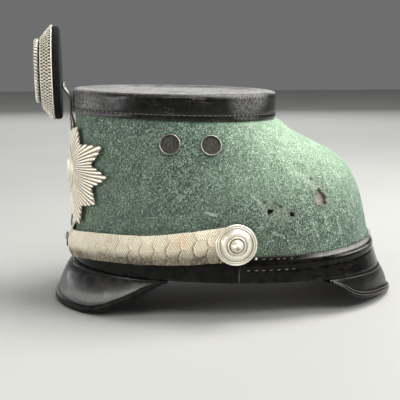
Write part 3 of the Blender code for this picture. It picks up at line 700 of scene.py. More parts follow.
def body_finish():
    f = Finish("body_fibre", (0.36, 0.32, 0.30), 0.85)
    fibre = f.noise(1.4, 5, 0.65, 0.3, f.stretched((1, 0.4, 1.5), (0.3, 0.4, 0.2)))
    patch = f.noise(18.0, 3, 0.6)
    tone = f.ramp(fibre, ((0.3, (0.25, 0.215, 0.20)), (0.55, (0.40, 0.35, 0.325)), (0.75, (0.55, 0.49, 0.45))))
    tone = f.mix(f.span(patch, 0.45, 0.7, 0.0, 0.3), tone, (0.20, 0.17, 0.145))
    # painted shade: the fibre body is painted near-black where it shows through the two low moth holes
    for y, h in ((38.3, 47.3), (54.1, 45.0)):
        tone = f.mix(f.near(74.0, y, h, 7.0, 3.0), tone, (0.012, 0.014, 0.012))
    f.colour(tone)
    f.bump(fibre, 0.25, 0.6)
    return f.m


def thread_finish(name, colour):
    f = Finish(name, colour, 0.7)
    ply = f.noise(0.35, 2, 0.5)
    f.colour(f.mix(f.span(ply, 0.35, 0.65), tuple(c * 0.6 for c in colour), tuple(min(1, c * 1.3) for c in colour)))
    f.bump(ply, 0.05, 0.7)
    return f.m


FELT = felt_finish()
LID_LEATHER = leather_finish(
    "lid_leather",
    dust_and_sheen=0.9,
    crack=1.0,
    gloss=0.2,
    shine=0.24,
    worn_and_sheen_patches=((24, -100, 148, 9, 24, 0.85), (45, -84, 140, 4, 14, 0.3), (50, 16, 145, 7, 13, 0.55), (41, 27, 147, 3, 8, 0.4), (-30, -95, 146, 10, 20, 0.5), (-45, 25, 145, 8, 18, 0.3)),
)
BAND_LEATHER = leather_finish("band_leather", crack=0.2, gloss=0.11, shine=0.10, coat=0.03, grain=0.3, lines=(((88.2, 5.6, 18.0), (87.0, 5.6, 37.5), 0.18),))
VISOR_LEATHER = leather_finish("visor_leather", crack=0.12, gloss=0.31, shine=0.21, grain=0.2, highlight_tone=(0.20, 0.20, 0.19))
EDGE_LEATHER = leather_finish("edge_leather", crack=0.1, gloss=0.22, shine=0.09, grain=0.4)
BODY = body_finish()
PEACH = (0.88, 0.66, 0.46)
SILVER = metal_finish("scale_silver", (0.96, 0.885, 0.69), (0.10, 0.08, 0.05), 0.40, 0.45, True, ((86.0, -33.0, 55.5, 2.2, 5.6, PEACH), (62.0, -80.0, 53.5, 1.2, 3.0, (0.88, 0.70, 0.46))))
PLATE_SILVER = metal_finish("plate_silver", (0.94, 0.88, 0.72), (0.12, 0.10, 0.07), 0.34, 0.6, worn=0.6)
BOSS_SILVER = metal_finish("boss_silver", (0.98, 0.94, 0.81), (0.20, 0.17, 0.12), 0.30, 0.6, worn=0.0, even=1.0)
WIRE_SILVER = metal_finish("wire_silver", (0.93, 0.89, 0.76), (0.05, 0.045, 0.035), 0.32, 0.5)
STEEL = metal_finish("worn_steel", (0.35, 0.34, 0.29), (0.08, 0.07, 0.05), 0.42)
DARK_WIRE = wire_finish("screen_wire", (0.118, 0.116, 0.094))
CORE_WIRE = wire_finish("cone_core", (0.020, 0.016, 0.012))
BLACK_CLOTH = cloth_finish("black_cloth", (0.007, 0.007, 0.008), (0.045, 0.044, 0.042))
BLACK_THREAD = thread_finish("black_thread", (0.012, 0.012, 0.012))
GREY_THREAD = thread_finish("grey_thread", (0.15, 0.142, 0.125))
PALE_THREAD = thread_finish("waxed_thread", (0.16, 0.145, 0.12))


for part, material in (("crown_body", BODY),):
    for holder in frame["nodes"][part].material_slots:
        holder.material = material

TAU = 2 * math.pi
QUARTER = math.pi / 2


def spaced(length, base, peaks):
    """Places from 0 to length, base apart, closer at the peaks (centre, half width, spacing)."""
    at = np.linspace(0, length, 6000)
    density = np.full_like(at, 1 / base)
    for centre, half, spacing in peaks:
        d = np.abs(at - centre)
        d = np.minimum(d, length - d)
        density = np.maximum(density, (1 / spacing) / (1 + np.exp((d - half) / (0.35 * half))))
    gone = np.concatenate([[0], np.cumsum((density[1:] + density[:-1]) / 2 * np.diff(at))])
    count = int(round(gone[-1]))
    return np.interp(np.linspace(0, gone[-1], count + 1), gone, at)


def smoothstep(x, a, b):
    t = np.clip((x - a) / (b - a), 0, 1)
    return t * t * (3 - 2 * t)


# ================================================================================================
# felt cover
# ================================================================================================
# y, height, half width, half height, turn in degrees
MOTH_HOLES = (
    (75.3, 54.8, 4.8, 5.6, 6.0),
    (38.3, 47.3, 2.3, 1.75, 20.0),
    (54.1, 45.0, 1.9, 1.6, 0.0),
)
NIPS = (
    (34.6, 53.2, 1.15, 0.75, 1.0, -5.0),
    (45.8, 50.4, 2.0, 0.6, 1.0, -18.0),
    (41.5, 52.6, 1.6, 0.4, 0.75, -12.0),
    (68.3, 67.6, 1.0, 0.8, 1.0, -20.0),
    (69.8, 84.0, 0.5, 0.5, 0.9, 0.0),
    (41.0, 50.2, 4.0, 2.0, 0.3, -15.0),
    (47.5, 44.5, 5.0, 1.6, 0.25, 4.0),
    (72.5, 61.0, 1.6, 3.0, 0.25, 25.0),
)
VENT_H, VENT_YS = 89.9, (-29.2, -1.9)


def felt_cover():
    full = np.linspace(0, TAU, 8001)
    line = crown(full, np.full_like(full, 52.0))
    gone = np.concatenate([[0], np.cumsum(np.linalg.norm(np.diff(line, axis=0), axis=1))])

    def arc(angle):
        return float(np.interp(angle % TAU, full, gone))

    peaks = [(arc(angle_at_y(y, h)), 6.5 if k == 0 else 4.0, 0.42) for k, (y, h, *_) in enumerate(MOTH_HOLES)]
    peaks += [(arc(angle_at_y(34.6, 53.2)), 2.0, 0.42), (arc(angle_at_y(45.8, 50.4)), 3.0, 0.42), (arc(angle_at_y(68.3, 67.6)), 1.6, 0.42)]
    vents = []
    for y in VENT_YS:
        a = angle_at_y(y, VENT_H)
        for b in (a, math.pi - a):
            peaks.append((arc(b), 8.5, 1.1))
            vents.append(crown(b, VENT_H))
    around = np.interp(spaced(gone[-1], 3.2, peaks)[:-1], gone, full)
    tall = spaced(116.5, 2.6, ((50.0, 8.0, 0.42), (66.2, 1.2, 0.5), (88.4, 8.5, 1.1), (104.0, 3.0, 0.9))) + 1.5
    tall = tall[tall <= 117.99]
    columns, rows = len(around), len(tall)
    angle, height = np.meshgrid(around, tall)
    normal = crown_normal(angle, height)
    p = crown(angle, height)

    # slow waves of an old hat, and the pull of the nap; held back under the band, the lid and the fittings
    free = smoothstep(height, 20, 34) * (1 - smoothstep(height, 98, 104))
    for v in vents:
        free = free * smoothstep(np.linalg.norm(p - v, axis=-1), 7.5, 14)
    free = free * (1 - 0.8 * smoothstep(-p[..., 1], 70, 82))
    wave = 0.75 * value_noise(p, 46, 11, 2) + 0.28 * value_noise(p, 13, 12, 1)
    push = wave * free
    push += -0.5 * np.exp(-(((p[..., 1] + 4) / 16) ** 2) - ((height - 74) / 8) ** 2) * (p[..., 0] > 0)
    # the felt turns in a little under the lid's rim
    push += -0.25 * smoothstep(height, 100.5, 104.5)

    kept = np.ones((rows - 1, columns), bool)
    outlines = []
    worn, pit_shade = np.zeros(p.shape[:-1]), np.zeros(p.shape[:-1])
    centre = (p[:-1] + p[1:] + np.roll(p, -1, 1)[:-1] + np.roll(p, -1, 1)[1:]) / 4
    for k, (y, h, wide, high, turn) in enumerate(MOTH_HOLES):
        a = angle_at_y(y, h)
        middle, n = crown(a, h), crown_normal(a, h)
        side = np.cross([0, 0, 1], n)
        side /= np.linalg.norm(side)
        top = np.cross(n, side)
        c, s = math.cos(math.radians(turn)), math.sin(math.radians(turn))
        e1, e2 = side * c + top * s, top * c - side * s

        def reach(q, middle=middle, e1=e1, e2=e2, wide=wide, high=high, k=k):
            d = q - middle
            u, v = d @ e1 / wide, d @ e2 / high
            phi = np.arctan2(v, u)
            rag = 1 + 0.13 * np.sin(3 * phi + (1.1 + k if k else math.pi)) + 0.10 * np.sin(5 * phi + 0.4 * k) + 0.07 * np.sin(9 * phi + 2 + k) + 0.05 * np.sin(17 * phi)
            return np.hypot(u, v) / rag, d

        outlines.append((reach, middle, e1, e2))
        r, d = reach(centre)
        kept &= ~((r < 1) & (np.linalg.norm(d, axis=-1) < 12))
        r, d = reach(p)
        near = np.linalg.norm(d, axis=-1) < 14
        worn = np.maximum(worn, np.where(near, np.exp(-((r - 1) / 0.75) ** 2) * 0.6, 0))
        # the nap is thinned round the hole, and the rim curls a little
        push -= np.where(near, 0.55 * np.exp(-((r - 1) / 1.1) ** 2) * (r > 0.9), 0)
        push += np.where(near, 0.35 * np.exp(-((r - 1.05) / 0.12) ** 2), 0)
    for v in vents:
        kept &= ~(np.linalg.norm(centre - v, axis=-1) < 6.5)
    # small pits where the nap is eaten but the cloth still holds: y, height, half length, half height, depth, turn
    for y, h, wide, high, deep, turn in NIPS:
        m, n = crown(angle_at_y(y, h), h), crown_normal(angle_at_y(y, h), h)
        side = np.cross([0, 0, 1], n)
        side /= np.linalg.norm(side)
        top = np.cross(n, side)
        c, s = math.cos(math.radians(turn)), math.sin(math.radians(turn))
        d = p - m
        u, v = d @ (side * c + top * s) / wide, d @ (top * c - side * s) / high
        close = np.linalg.norm(d, axis=-1) < 12
        fall = np.where(close, np.exp(-(u**2 + v**2)), 0)
        push -= deep * fall
        # the deepest pits are also painted near-black: painted shade
        if deep > 0.7:
            pit_shade = np.maximum(pit_shade, np.clip(fall * 1.7 - 0.45, 0, 1))
        worn = np.maximum(worn, np.where(close, np.exp(-((u**2 + v**2) / 6.0)), 0) * 0.55)

    # the ragged outline: each corner on a hole's rim is drawn onto the curve
    index = np.arange(rows * columns).reshape(rows, columns)
    nxt = np.roll(index, -1, 1)
    quad = np.stack([index[:-1], nxt[:-1], nxt[1:], index[1:]], -1)[kept]
    n = rows * columns
    a, b = np.concatenate([quad[:, k] for k in range(4)]), np.concatenate([quad[:, (k + 1) % 4] for k in range(4)])
    open_edge = ~np.isin(a * n + b, b * n + a)
    a, b = a[open_edge], b[open_edge]
    rim = np.unique(a)
    rim = rim[(rim >= columns) & (rim < n - columns)]
    flat = p.reshape(-1, 3)
    for reach, middle, e1, e2 in outlines:
        r, d = reach(flat[rim])
        mine = np.linalg.norm(d, axis=-1) < 9
        who = rim[mine]
        d = d[mine]
        inward = (1 / r[mine] - 1)[:, None]
        flat[who] += inward * ((d @ e1)[:, None] * e1 + (d @ e2)[:, None] * e2)
    p = flat.reshape(p.shape)

    outer = p + normal * push[..., None]
    inner = p - normal * 2.0
    v = np.concatenate([outer.reshape(-1, 3), inner.reshape(-1, 3)])
    faces = np.concatenate([quad, quad[:, ::-1] + n, np.stack([b, a, a + n, b + n], -1)])
    used = np.zeros(len(v), bool)
    used[faces.ravel()] = True
    place = np.cumsum(used) - 1
    marks = {"mark": np.tile(worn.ravel(), 2)[used], "pit_shade": np.tile(pit_shade.ravel(), 2)[used]}
    return mesh_piece("felt_cover", v[used], place[faces], FELT, None, marks, None, ("crown_felt",))


felt_cover()


# ================================================================================================
# base band, with its stitching and its seam
# ================================================================================================
def band_top(angle):
    return 18.2 + 5.4 * np.maximum(0, np.sin(angle)) ** 2


SEAM = angle_at_y(18.5, 8.0)


def base_band():
    angle = np.sort(np.concatenate([np.linspace(0, TAU, 300, endpoint=False), SEAM % TAU + np.linspace(-0.012, 0.012, 7)]))
    top = band_top(angle)
    # share of the height, distance out from the felt, and a fixed rise
    section = [(0, GAP, 0.0), (0, 1.1, -0.05), (0, 1.6, 0.1), (0, BAND_OUT, 0.55)]
    section += [(s, BAND_OUT, 0) for s in np.linspace(0.06, 0.95, 30)]
    section += [(0.965, BAND_OUT, 0), (1, BAND_OUT - 0.25, -0.2), (1, 1.25, 0.02), (1, 0.8, 0.0), (1, GAP, -0.25)]
    section += [(0.66, GAP, 0), (0.33, GAP, 0)]
    rings, marks = [], []
    for share, out, rise in section:
        h = top * share + rise
        base = off_crown(angle, np.maximum(h, 1.5), np.full_like(angle, out), True)
        base[:, 2] = h
        if out > 1.5:
            n = crown_normal(angle, np.maximum(h, 1.5), True)
            lap = 0.6 * smoothstep(SEAM - angle, -0.001, 0.002) * (1 - smoothstep(SEAM - angle, 0.0, 0.16)) * (angle < 1.5)
            wave = 0.22 * value_noise(base, 34, 21, 2) + 0.10 * value_noise(base, 9, 22, 2)
            wave = wave * (out > 1.7)
            # sewn down along two rows, so the leather swells between them and sinks at each
            below = top - h
            back = smoothstep(np.sin(angle), 0.02, 0.2)
            wave = wave + back * (0.62 * np.exp(-(((below - 6.2) / 2.7) ** 2)) - 0.35 * np.exp(-(((below - 9.4) / 0.8) ** 2)) - 0.25 * np.exp(-(((below - 2.0) / 0.6) ** 2)))
            # at the back its top is drawn in towards the felt, so that the leather's upper part faces up
            drawn = smoothstep(np.sin(angle), 0.5, 0.68) * 1.15 * np.clip(1 - below / 4.8, 0, 1)
            base = base + n * (lap + wave - drawn)[:, None]
        rings.append(base)
        edge = 1.0 if out > 1.0 and (share > 0.94 or (share == 0 and rise > 0)) else 0.12
        worn = np.full(len(angle), edge)
        if out > 1.5:
            # painted highlight: the drawn-in part at the back is painted paler in a strip, with a thin painted line of
            # its own under it
            below, turn = top - h, np.sin(angle)
            strip = smoothstep(below, 0.2, 0.9) * smoothstep(-below, -4.0, -2.6) * smoothstep(turn, 0.34, 0.56)
            line = np.exp(-(((below - 5.0) / 0.55) ** 2)) * smoothstep(turn, 0.58, 0.72)
            highlight_strip = np.maximum(strip, 0.8 * line) * (1 - 0.6 * smoothstep(turn, 0.86, 0.97))
            worn = np.where(highlight_strip > 0.02, 1 + highlight_strip, worn)
        marks.append(worn)
    b = Builder()
    b.grid(np.array(rings), wrap_columns=True, wrap_rows=True, flip=False, value=np.array(marks))
    return b.piece("band_leather_strip", BAND_LEATHER, "patent_leather", 50, ("base_band",))


base_band()


def stitch_run(into, points, normals, size=(0.85, 0.24, 0.22), pitch=2.6, tilt=0.0, seed=5, value=0.0, jitter=0.12, start=0.5):
    """Stitches along a line of points: each a short capsule that lies on the surface."""
    rng = seeded(seed)
    d = np.concatenate([[0], np.cumsum(np.linalg.norm(np.diff(points, axis=0), axis=1))])
    at = np.arange(pitch * start, d[-1] - pitch * 0.3, pitch)
    at = at + rng.uniform(-jitter, jitter, len(at)) * pitch
    centre = np.stack([np.interp(at, d, points[:, c]) for c in range(3)], -1)
    normal = np.stack([np.interp(at, d, normals[:, c]) for c in range(3)], -1)
    normal /= np.linalg.norm(normal, axis=1, keepdims=True)
    ahead = np.stack([np.interp(at + 0.2, d, points[:, c]) for c in range(3)], -1) - np.stack([np.interp(at - 0.2, d, points[:, c]) for c in range(3)], -1)
    ahead /= np.linalg.norm(ahead, axis=1, keepdims=True)
    across = np.cross(normal, ahead)
    turn = np.radians(tilt) + rng.uniform(-0.08, 0.08, len(at))
    along = ahead * np.cos(turn)[:, None] + across * np.sin(turn)[:, None]
    across = np.cross(normal, along)
    beads(centre + normal * 0.04, along, across, normal, size, 6, 3, value, into)


def band_stitches():
    b = Builder()
    low, high = angle_at_y(21.0, 16.0), angle_at_y(58.0, 16.0)
    for flip in (1, -1):
        for fall, seed in ((2.0, 31), (9.4, 32)):
            a = np.linspace(low, high, 120)
            if flip < 0:
                a = math.pi - a
            h = band_top(a) - fall
            p = off_crown(a, h, np.full_like(a, BAND_OUT + 0.05), True)
            stitch_run(b, p, crown_normal(a, h, True), (1.25, 0.3, 0.26), 5.1, 2, seed)
    # fine stitches right along the top edge, all the way round
    a = np.linspace(0, TAU, 900)
    h = band_top(a) - 0.75
    p = off_crown(a, h, np.full_like(a, BAND_OUT - 0.02), True)
    c = Builder()
    stitch_run(c, p, crown_normal(a, h, True), (0.62, 0.2, 0.2), 2.3, 0, 33)
    b.piece("band_stitches", PALE_THREAD, "patent_leather")
    c.piece("band_edge_stitches", BLACK_THREAD, "patent_leather")
    # one bright nail head by the boss on each side
    for name, sign in (("band_nail_left", 1), ("band_nail_right", -1)):
        a = angle_at_y(28.6, 16.6)
        where, n = off_crown(np.array(a), 16.6, np.array(BAND_OUT + 0.1), True), crown_normal(a, 16.6, True)
        where, n = where * np.array([sign, 1, 1]), n * np.array([sign, 1, 1])
        side = np.cross([0, 0, 1.0], n)
        nail = Builder()
        beads(where[None], n[None], side[None], np.array([[0, 0, 1.0]]), (0.62, 0.85, 0.85), 12, 7, 0.0, nail)
        nail.piece(name, BOSS_SILVER, "patent_leather")


band_stitches()


# ================================================================================================
# lid
# ================================================================================================
LID_LOW, LID_TOP, LID_DISH, LID_CLIMB = 105.6, 122.3, 1.2, 1.5
LID_FRONT, LID_REAR = -93.2, 49.4


def lid_ring(angle, offset, height, share=1.0):
    centre = np.array([0, (LID_FRONT + LID_REAR) / 2, 0])
    p = off_crown(angle, np.full_like(angle, 112.0), np.full_like(angle, offset), True)
    p[:, 2] = 0
    p = centre + (p - centre) * share
    climb = LID_CLIMB * (p[:, 1] - LID_FRONT) / (LID_REAR - LID_FRONT) * (height > (LID_LOW + LID_TOP) / 2)
    p[:, 2] = height + climb
    return p


def lid():
    angle = np.linspace(0, TAU, 288, endpoint=False)
    out = GAP + 1.8
    # offset, height, share of the way out, wear
    path = [(GAP, LID_LOW + 0.1, 1, 0.1), (out - 1.0, LID_LOW - 0.05, 1, 0.5), (out - 0.35, LID_LOW, 1, 0.9), (out, LID_LOW + 0.35, 1, 0.9), (out + 0.08, LID_LOW + 1.0, 1, 0.35)]
    path += [(out, LID_LOW + 2.4, 1, 0.15), (out - 0.22, LID_LOW + 3.1, 1, 0.1), (out - 0.22, LID_LOW + 3.9, 1, 0.1), (out + 0.02, LID_LOW + 4.6, 1, 0.2)]
    path += [(out + 0.05, LID_LOW + s, 1, 0.15) for s in (6.0, 7.6, 9.2, 10.8, 12.2, 13.2)]
    for k in range(1, 11):
        t = k / 10 * QUARTER
        path.append((out - 2.95 * (1 - math.cos(t)), LID_TOP - 3.2 + 3.2 * math.sin(t) ** 1.1, 1, 0.9 if 2 < k < 9 else 0.5))
    for k, share in enumerate((0.97, 0.94, 0.91, 0.875, 0.84, 0.79, 0.74, 0.68, 0.61, 0.54, 0.47, 0.40, 0.33, 0.26, 0.19, 0.12, 0.06)):
        fall = LID_DISH * (1 - math.exp(-(((1 - share) / 0.07) ** 2)))
        path.append((out - 3.0, LID_TOP + 0.05 - fall, share, 0.35 if share > 0.9 else 0.2))
    rings = np.array([lid_ring(angle, *row[:3]) for row in path])
    marks = np.array([np.full(len(angle), row[3]) for row in path])
    # the leather has shrunk and rippled: slow waves on the side, dents and ridges on the top
    shares = np.array([row[2] for row in path])[:, None]
    heights = np.array([row[1] for row in path])[:, None]
    centre = np.array([0, (LID_FRONT + LID_REAR) / 2, LID_TOP])
    radial = rings - centre
    radial[..., 2] = 0
    radial /= np.linalg.norm(radial, axis=-1, keepdims=True)
    side = smoothstep(heights, LID_LOW + 4.6, LID_LOW + 8) * (1 - smoothstep(heights, LID_TOP - 3.0, LID_TOP)) * (shares > 0.99)
    rings = rings + radial * (side * (0.30 * value_noise(rings, 20, 41, 2) + 0.12 * value_noise(rings, 6, 42, 2)))[..., None]
    top = 1 - smoothstep(shares, 0.93, 0.985)
    lift = 0.55 * value_noise(rings * np.array([1.0, 0.6, 1.0]), 24, 43, 2) + 0.22 * value_noise(rings, 8, 44, 2)
    for x, y, wide, deep in ((8, -23, 5.0, 1.0), (20, -14, 3.4, 0.9), (-12, 8, 8, 0.5), (30, -40, 7, 0.5), (-25, -35, 9, 0.5)):
        lift = lift - deep * np.exp(-((rings[..., 0] - x) ** 2 + ((rings[..., 1] - y) / 1.5) ** 2) / wide**2)
    rings[..., 2] += lift * top
    edge = np.exp(-(((shares - 0.985) / 0.02) ** 2)) * (heights > LID_TOP - 1.0)
    rings[..., 2] += edge * (0.22 * value_noise(rings, 11, 45, 2) + 0.12 * value_noise(rings, 4, 47, 2))
    under = [(GAP - 4.4, LID_TOP - 2.4 - LID_DISH, 0.30), (GAP - 4.4, LID_TOP - 2.4 - LID_DISH, 0.62), (GAP - 2.0, LID_TOP - 2.9, 0.95), (GAP, LID_TOP - 3.3, 1.0), (GAP, LID_LOW + 5.0, 1.0)]
    below = np.array([lid_ring(angle, *row) for row in under])
    whole = np.concatenate([below, rings])
    marks = np.concatenate([np.full((len(under), len(angle)), 0.1), marks])
    b = Builder()
    b.grid(whole, wrap_columns=True, value=marks, caps=True)
    b.piece("lid_leather_cap", LID_LEATHER, "patent_leather", 60, ("lid",))

    s = Builder()
    a = np.linspace(0, TAU, 1200)
    p = lid_ring(a, out - 0.02, LID_LOW + 3.5)
    stitch_run(s, p, crown_normal(a, np.full_like(a, 112.0), True), (1.25, 0.26, 0.24), 3.6, 3, 46, jitter=0.04)
    s.piece("lid_stitches", GREY_THREAD, "patent_leather")
    # painted shade: a flat black patch at each stitch hole, between the grey stitches
    h = Builder()
    stitch_run(h, p, crown_normal(a, np.full_like(a, 112.0), True), (1.05, 0.85, 0.15), 3.6, 0, 46, jitter=0.04, start=0.0)
    h.piece("lid_stitch_hole_shade", BLACK_THREAD, "patent_leather")


lid()


# ================================================================================================
# visors
# ================================================================================================
FRONT_VISOR = (
    (0.0, 12.2, 29.0),
    (0.18, 11.8, 28.9),
    (0.4, 10.2, 28.6),
    (0.52, 9.2, 27.6),
    (0.61, 8.1, 24.6),
    (0.72, 6.6, 19.0),
    (0.83, 4.8, 12.0),
    (0.91, 3.0, 6.0),
    (1.0, 1.2, 0.8),
)
REAR_VISOR = (
    (0.0, 10.0, 22.0),
    (0.05, 9.9, 21.7),
    (0.16, 8.6, 19.6),
    (0.31, 6.6, 17.6),
    (0.49, 5.0, 16.2),
    (0.66, 4.2, 15.0),
    (0.78, 3.4, 12.6),
    (0.84, 2.8, 9.8),
    (0.92, 1.8, 4.4),
    (1.0, 1.0, 0.8),
)
VISOR = 2.0


def soften(values, reach):
    """A running mean that keeps the ends."""
    for _ in range(2):
        padded = np.concatenate([np.full(reach, values[0]), values, np.full(reach, values[-1])])
        values = np.convolve(padded, np.ones(2 * reach + 1) / (2 * reach + 1), "valid")
    return values


def visor(name, node, middle, end_angle, table, seed, edging):
    stations, steps = 180, 26
    s = np.linspace(-1, 1, 2 * stations + 1)
    s = np.sign(s) * (0.45 * np.abs(s) + 0.55 * np.sin(np.abs(s) * QUARTER))
    angle = middle + s * abs(end_angle - middle)
    out, drop = look_up(smooth_table(table), np.abs(s))
    fade = smoothstep(1 - np.abs(s), 0.0, 0.06)
    out = out * (1 - fade) + soften(out, 9) * fade
    drop = drop * (1 - fade) + soften(drop, 5) * fade
    low = np.full_like(angle, 1.5)
    edge = off_crown(angle, low, np.full_like(angle, BAND_OUT), True)
    edge[:, 2] = 0
    side = crown_normal(angle, low, True)
    up = np.array([0, 0, 1.0])
    depth = -(2.3 + 1.5 + 0.75)
    deep = BAND_OUT - depth
    lean = ((off_crown(angle, np.full_like(angle, 7.0), np.full_like(angle, depth), True) - off_crown(angle, low, np.full_like(angle, depth), True)) * side).sum(-1)

    w = np.linspace(0, 1, steps + 1)[None, :]
    o, d = out[:, None], drop[:, None]
    bulge = 0.5
    r = o * (bulge * np.sin(w * QUARTER) + (1 - bulge) * w) + 0.2 * (1 - w)
    z = -d * (bulge * (1 - np.cos(w * QUARTER)) + (1 - bulge) * w) - GAP
    # a soft roll where the leaf leaves the band, as the wet-moulded leather has
    roll = 0.5 * np.exp(-(((w - 0.06) / 0.05) ** 2)) * np.clip(d / 12, 0, 1)
    r = r + roll
    r = r + (0.75 if edging == "plain" else 0.3) * np.exp(-(((w - 0.90) / 0.11) ** 2)) * np.clip(d / 12, 0, 1) * (1 - w**12)
    rng_points = np.stack([edge[:, None, 0] + r, edge[:, None, 1] + 0 * r, z], -1)
    r = r + np.clip(d / 10, 0, 1) * (0.28 * value_noise(rng_points, 26, seed, 2) + 0.08 * value_noise(rng_points, 7, seed + 1, 2)) * np.sin(w * math.pi) ** 0.5
    dr, dz = np.gradient(r, axis=1), np.gradient(z, axis=1)
    length = np.hypot(dr, dz) + 1e-9
    ur, uz = r + dz / length * VISOR, z - dr / length * VISOR
    ur[:, 0], uz[:, 0] = r[:, 0] - VISOR, -GAP - VISOR

    def at(rr, zz):
        return edge[:, None] + side[:, None] * rr[..., None] + up * zz[..., None]

    one = np.ones((len(s), 1))
    margin_r = np.concatenate([(lean - deep - 1.5)[:, None], (lean - deep)[:, None], -deep * one], 1)
    margin_z = np.concatenate([7.0 * one, 7.0 * one, -GAP * one], 1)
    sect_r = np.concatenate([margin_r, r, ur[:, ::-1], (-deep - 1.5) * one], 1)
    sect_z = np.concatenate([margin_z, z, uz[:, ::-1], (-GAP - VISOR) * one], 1)
    leaf = at(sect_r, sect_z)
    marks = np.zeros(leaf.shape[:2])
    marks[:, 3 : 3 + steps + 1] = 0.15 + 0.35 * (w > 0.9) + 0.4 * (np.abs(s) > 0.93)[:, None]
    if edging == "plain":
        # painted highlight: a paler band is painted in the hollow above the edging, from the cheeks back to the ends
        turn = np.abs(angle - middle)[:, None]
        over = np.exp(-(((w - 0.76) / np.where(w < 0.76, 0.12, 0.07)) ** 2)) + 0.16 * np.exp(-(((w - 0.55) / 0.3) ** 2))
        over = over * (0.25 + 0.75 * smoothstep(turn, math.radians(8), math.radians(38))) * smoothstep(1 - np.abs(s)[:, None], 0.04, 0.16)
        marks[:, 3 : 3 + steps + 1] = np.where(over > 0.03, 1 + over, marks[:, 3 : 3 + steps + 1])
    b = Builder()
    b.grid(leaf, wrap_columns=True, value=marks, caps=True)
    b.piece(name + "_leaf", VISOR_LEATHER, "patent_leather", 45, (node,))

    # the edging: a folded strip over the lip
    lip_r, lip_z = (r[:, -1] + ur[:, -1]) / 2, (z[:, -1] + uz[:, -1]) / 2
    run_r, run_z = r[:, -1] - r[:, -4], z[:, -1] - z[:, -4]
    length = np.hypot(run_r, run_z)
    run_r, run_z = run_r / length, run_z / length
    go = np.abs(s) < 0.985
    taper = smoothstep(1 - np.abs(s), 0.0, 0.09)
    laps = np.minimum(4.2, 0.42 * np.hypot(out, drop))
    half, thin = VISOR / 2 + 0.22, VISOR / 2 + 1.2
    outline = [(-half, -1.0, 1.0), (-half, 0.3, 0), (half, 0.3, 0), (half, -1.0, 1.0)]
    bead = 0.22 if edging == "stitched" else 0.0
    face = [(thin - 0.55, -1.0, 1.0), (thin - 0.1, -0.92, 1.0), (thin + 0.02 + bead, -0.80, 1.0), (thin - 0.06 + bead, -0.66, 1.0), (thin - 0.18, -0.52, 1.0)]
    face += [(thin + bead, -0.38, 1.0), (thin + 0.05 + bead, -0.2, 1.0), (thin, 0.1, 0), (thin - 0.25, 0.9, 0), (thin - 0.75, 1.45, 0), (0.4, 1.75, 0), (-0.4, 1.75, 0)]
    back = [(-thin + 0.75, 1.45, 0), (-thin + 0.25, 0.9, 0), (-thin, 0.1, 0), (-thin, -0.5, 1.0), (-thin + 0.1, -0.9, 1.0), (-thin + 0.5, -1.0, 1.0)]
    ring, mark = [], []
    for across, along, lapped in outline + face + back:
        outer_row = across
        reach = along * laps if lapped else along * (0.35 + 0.65 * taper)
        across = np.sign(across) * (np.minimum(abs(across), half) + max(abs(across) - half, 0) * (0.25 + 0.75 * taper))
        rr = lip_r + (-run_z) * across + run_r * reach
        zz = lip_z + run_r * across + run_z * reach
        q = edge + side * rr[:, None] + up * zz[:, None]
        ring.append(q)
        mark.append(np.full(len(s), 0.5 if (outer_row > half and -0.7 < along < -0.3) or (outer_row > 0.2 and along > 0.8) else 0.08))
    ring, mark = np.array(ring).transpose(1, 0, 2)[go], np.array(mark).T[go]
    ring = ring + (0.10 * value_noise(ring, 9, seed + 3, 2))[..., None] * side[go][:, None]
    ring = rested(ring)
    e = Builder()
    e.grid(ring, wrap_columns=True, value=mark, caps=True, flip=False)
    e.piece(name + "_binding", EDGE_LEATHER, "patent_leather", 50, (node + "_edging",))

    t = Builder()
    if edging == "stitched":
        for place, sd in ((-0.66, seed + 5), (-0.2, seed + 6)):
            across = thin + 0.12
            rr = lip_r + (-run_z) * across + run_r * place * laps
            zz = lip_z + run_r * across + run_z * place * laps
            q = (edge + side * rr[:, None] + up * zz[:, None])[go]
            n = (side * run_z[:, None] * -1 + up * run_r[:, None] * 1)[go]
            stitch_run(t, q, n, (0.55, 0.42, 0.26), 1.35, 35, sd)
    else:
        across = thin - 0.12
        rr = lip_r + (-run_z) * across + run_r * -0.55 * laps
        zz = lip_z + run_r * across + run_z * -0.55 * laps
        q = (edge + side * rr[:, None] + up * zz[:, None])[go]
        n = (side * run_z[:, None] * -1 + up * run_r[:, None] * 1)[go]
        stitch_run(t, q, n, (0.7, 0.18, 0.15), 2.4, 0, seed + 5)
    t.piece(name + "_binding_stitches", GREY_THREAD if edging == "stitched" else BLACK_THREAD, "patent_leather")


visor("front_visor", "front_visor", -QUARTER, angle_at_y(-30.0, 1.5), FRONT_VISOR, 51, "plain")
visor("rear_visor", "rear_visor", QUARTER, angle_at_y(81.0, 1.5), REAR_VISOR, 61, "stitched")


# ================================================================================================
# chin scales: overlapping scalloped plates on a strap
# ================================================================================================
SCALES = (
    (0.3, 10.6, 18.6, 2.3),
    (12.0, 11.6, 18.8, 2.4),
    (38.0, 15.0, 19.0, 2.5),
    (60.0, 17.3, 19.2, 2.5),
    (95.0, 19.6, 19.6, 2.3),
    (122.0, 22.6, 21.8, 2.0),
    (150.0, 26.6, 23.6, 1.7),
)
SCALE_TABLE = smooth_table(SCALES)
STRAP_OUT = BAND_OUT + GAP + 0.5
STRAP_GONE, STRAP_ANGLE = arc_table(10.0, STRAP_OUT)
BOSS_Y, BOSS_H = 14.5, 27.0
STRAP_END = float(np.interp(BOSS_Y, off_crown(STRAP_ANGLE, np.full_like(STRAP_ANGLE, 10.0), np.full_like(STRAP_ANGLE, STRAP_OUT), True)[:, 1], STRAP_GONE))
SCALE_EDGE = 1.0


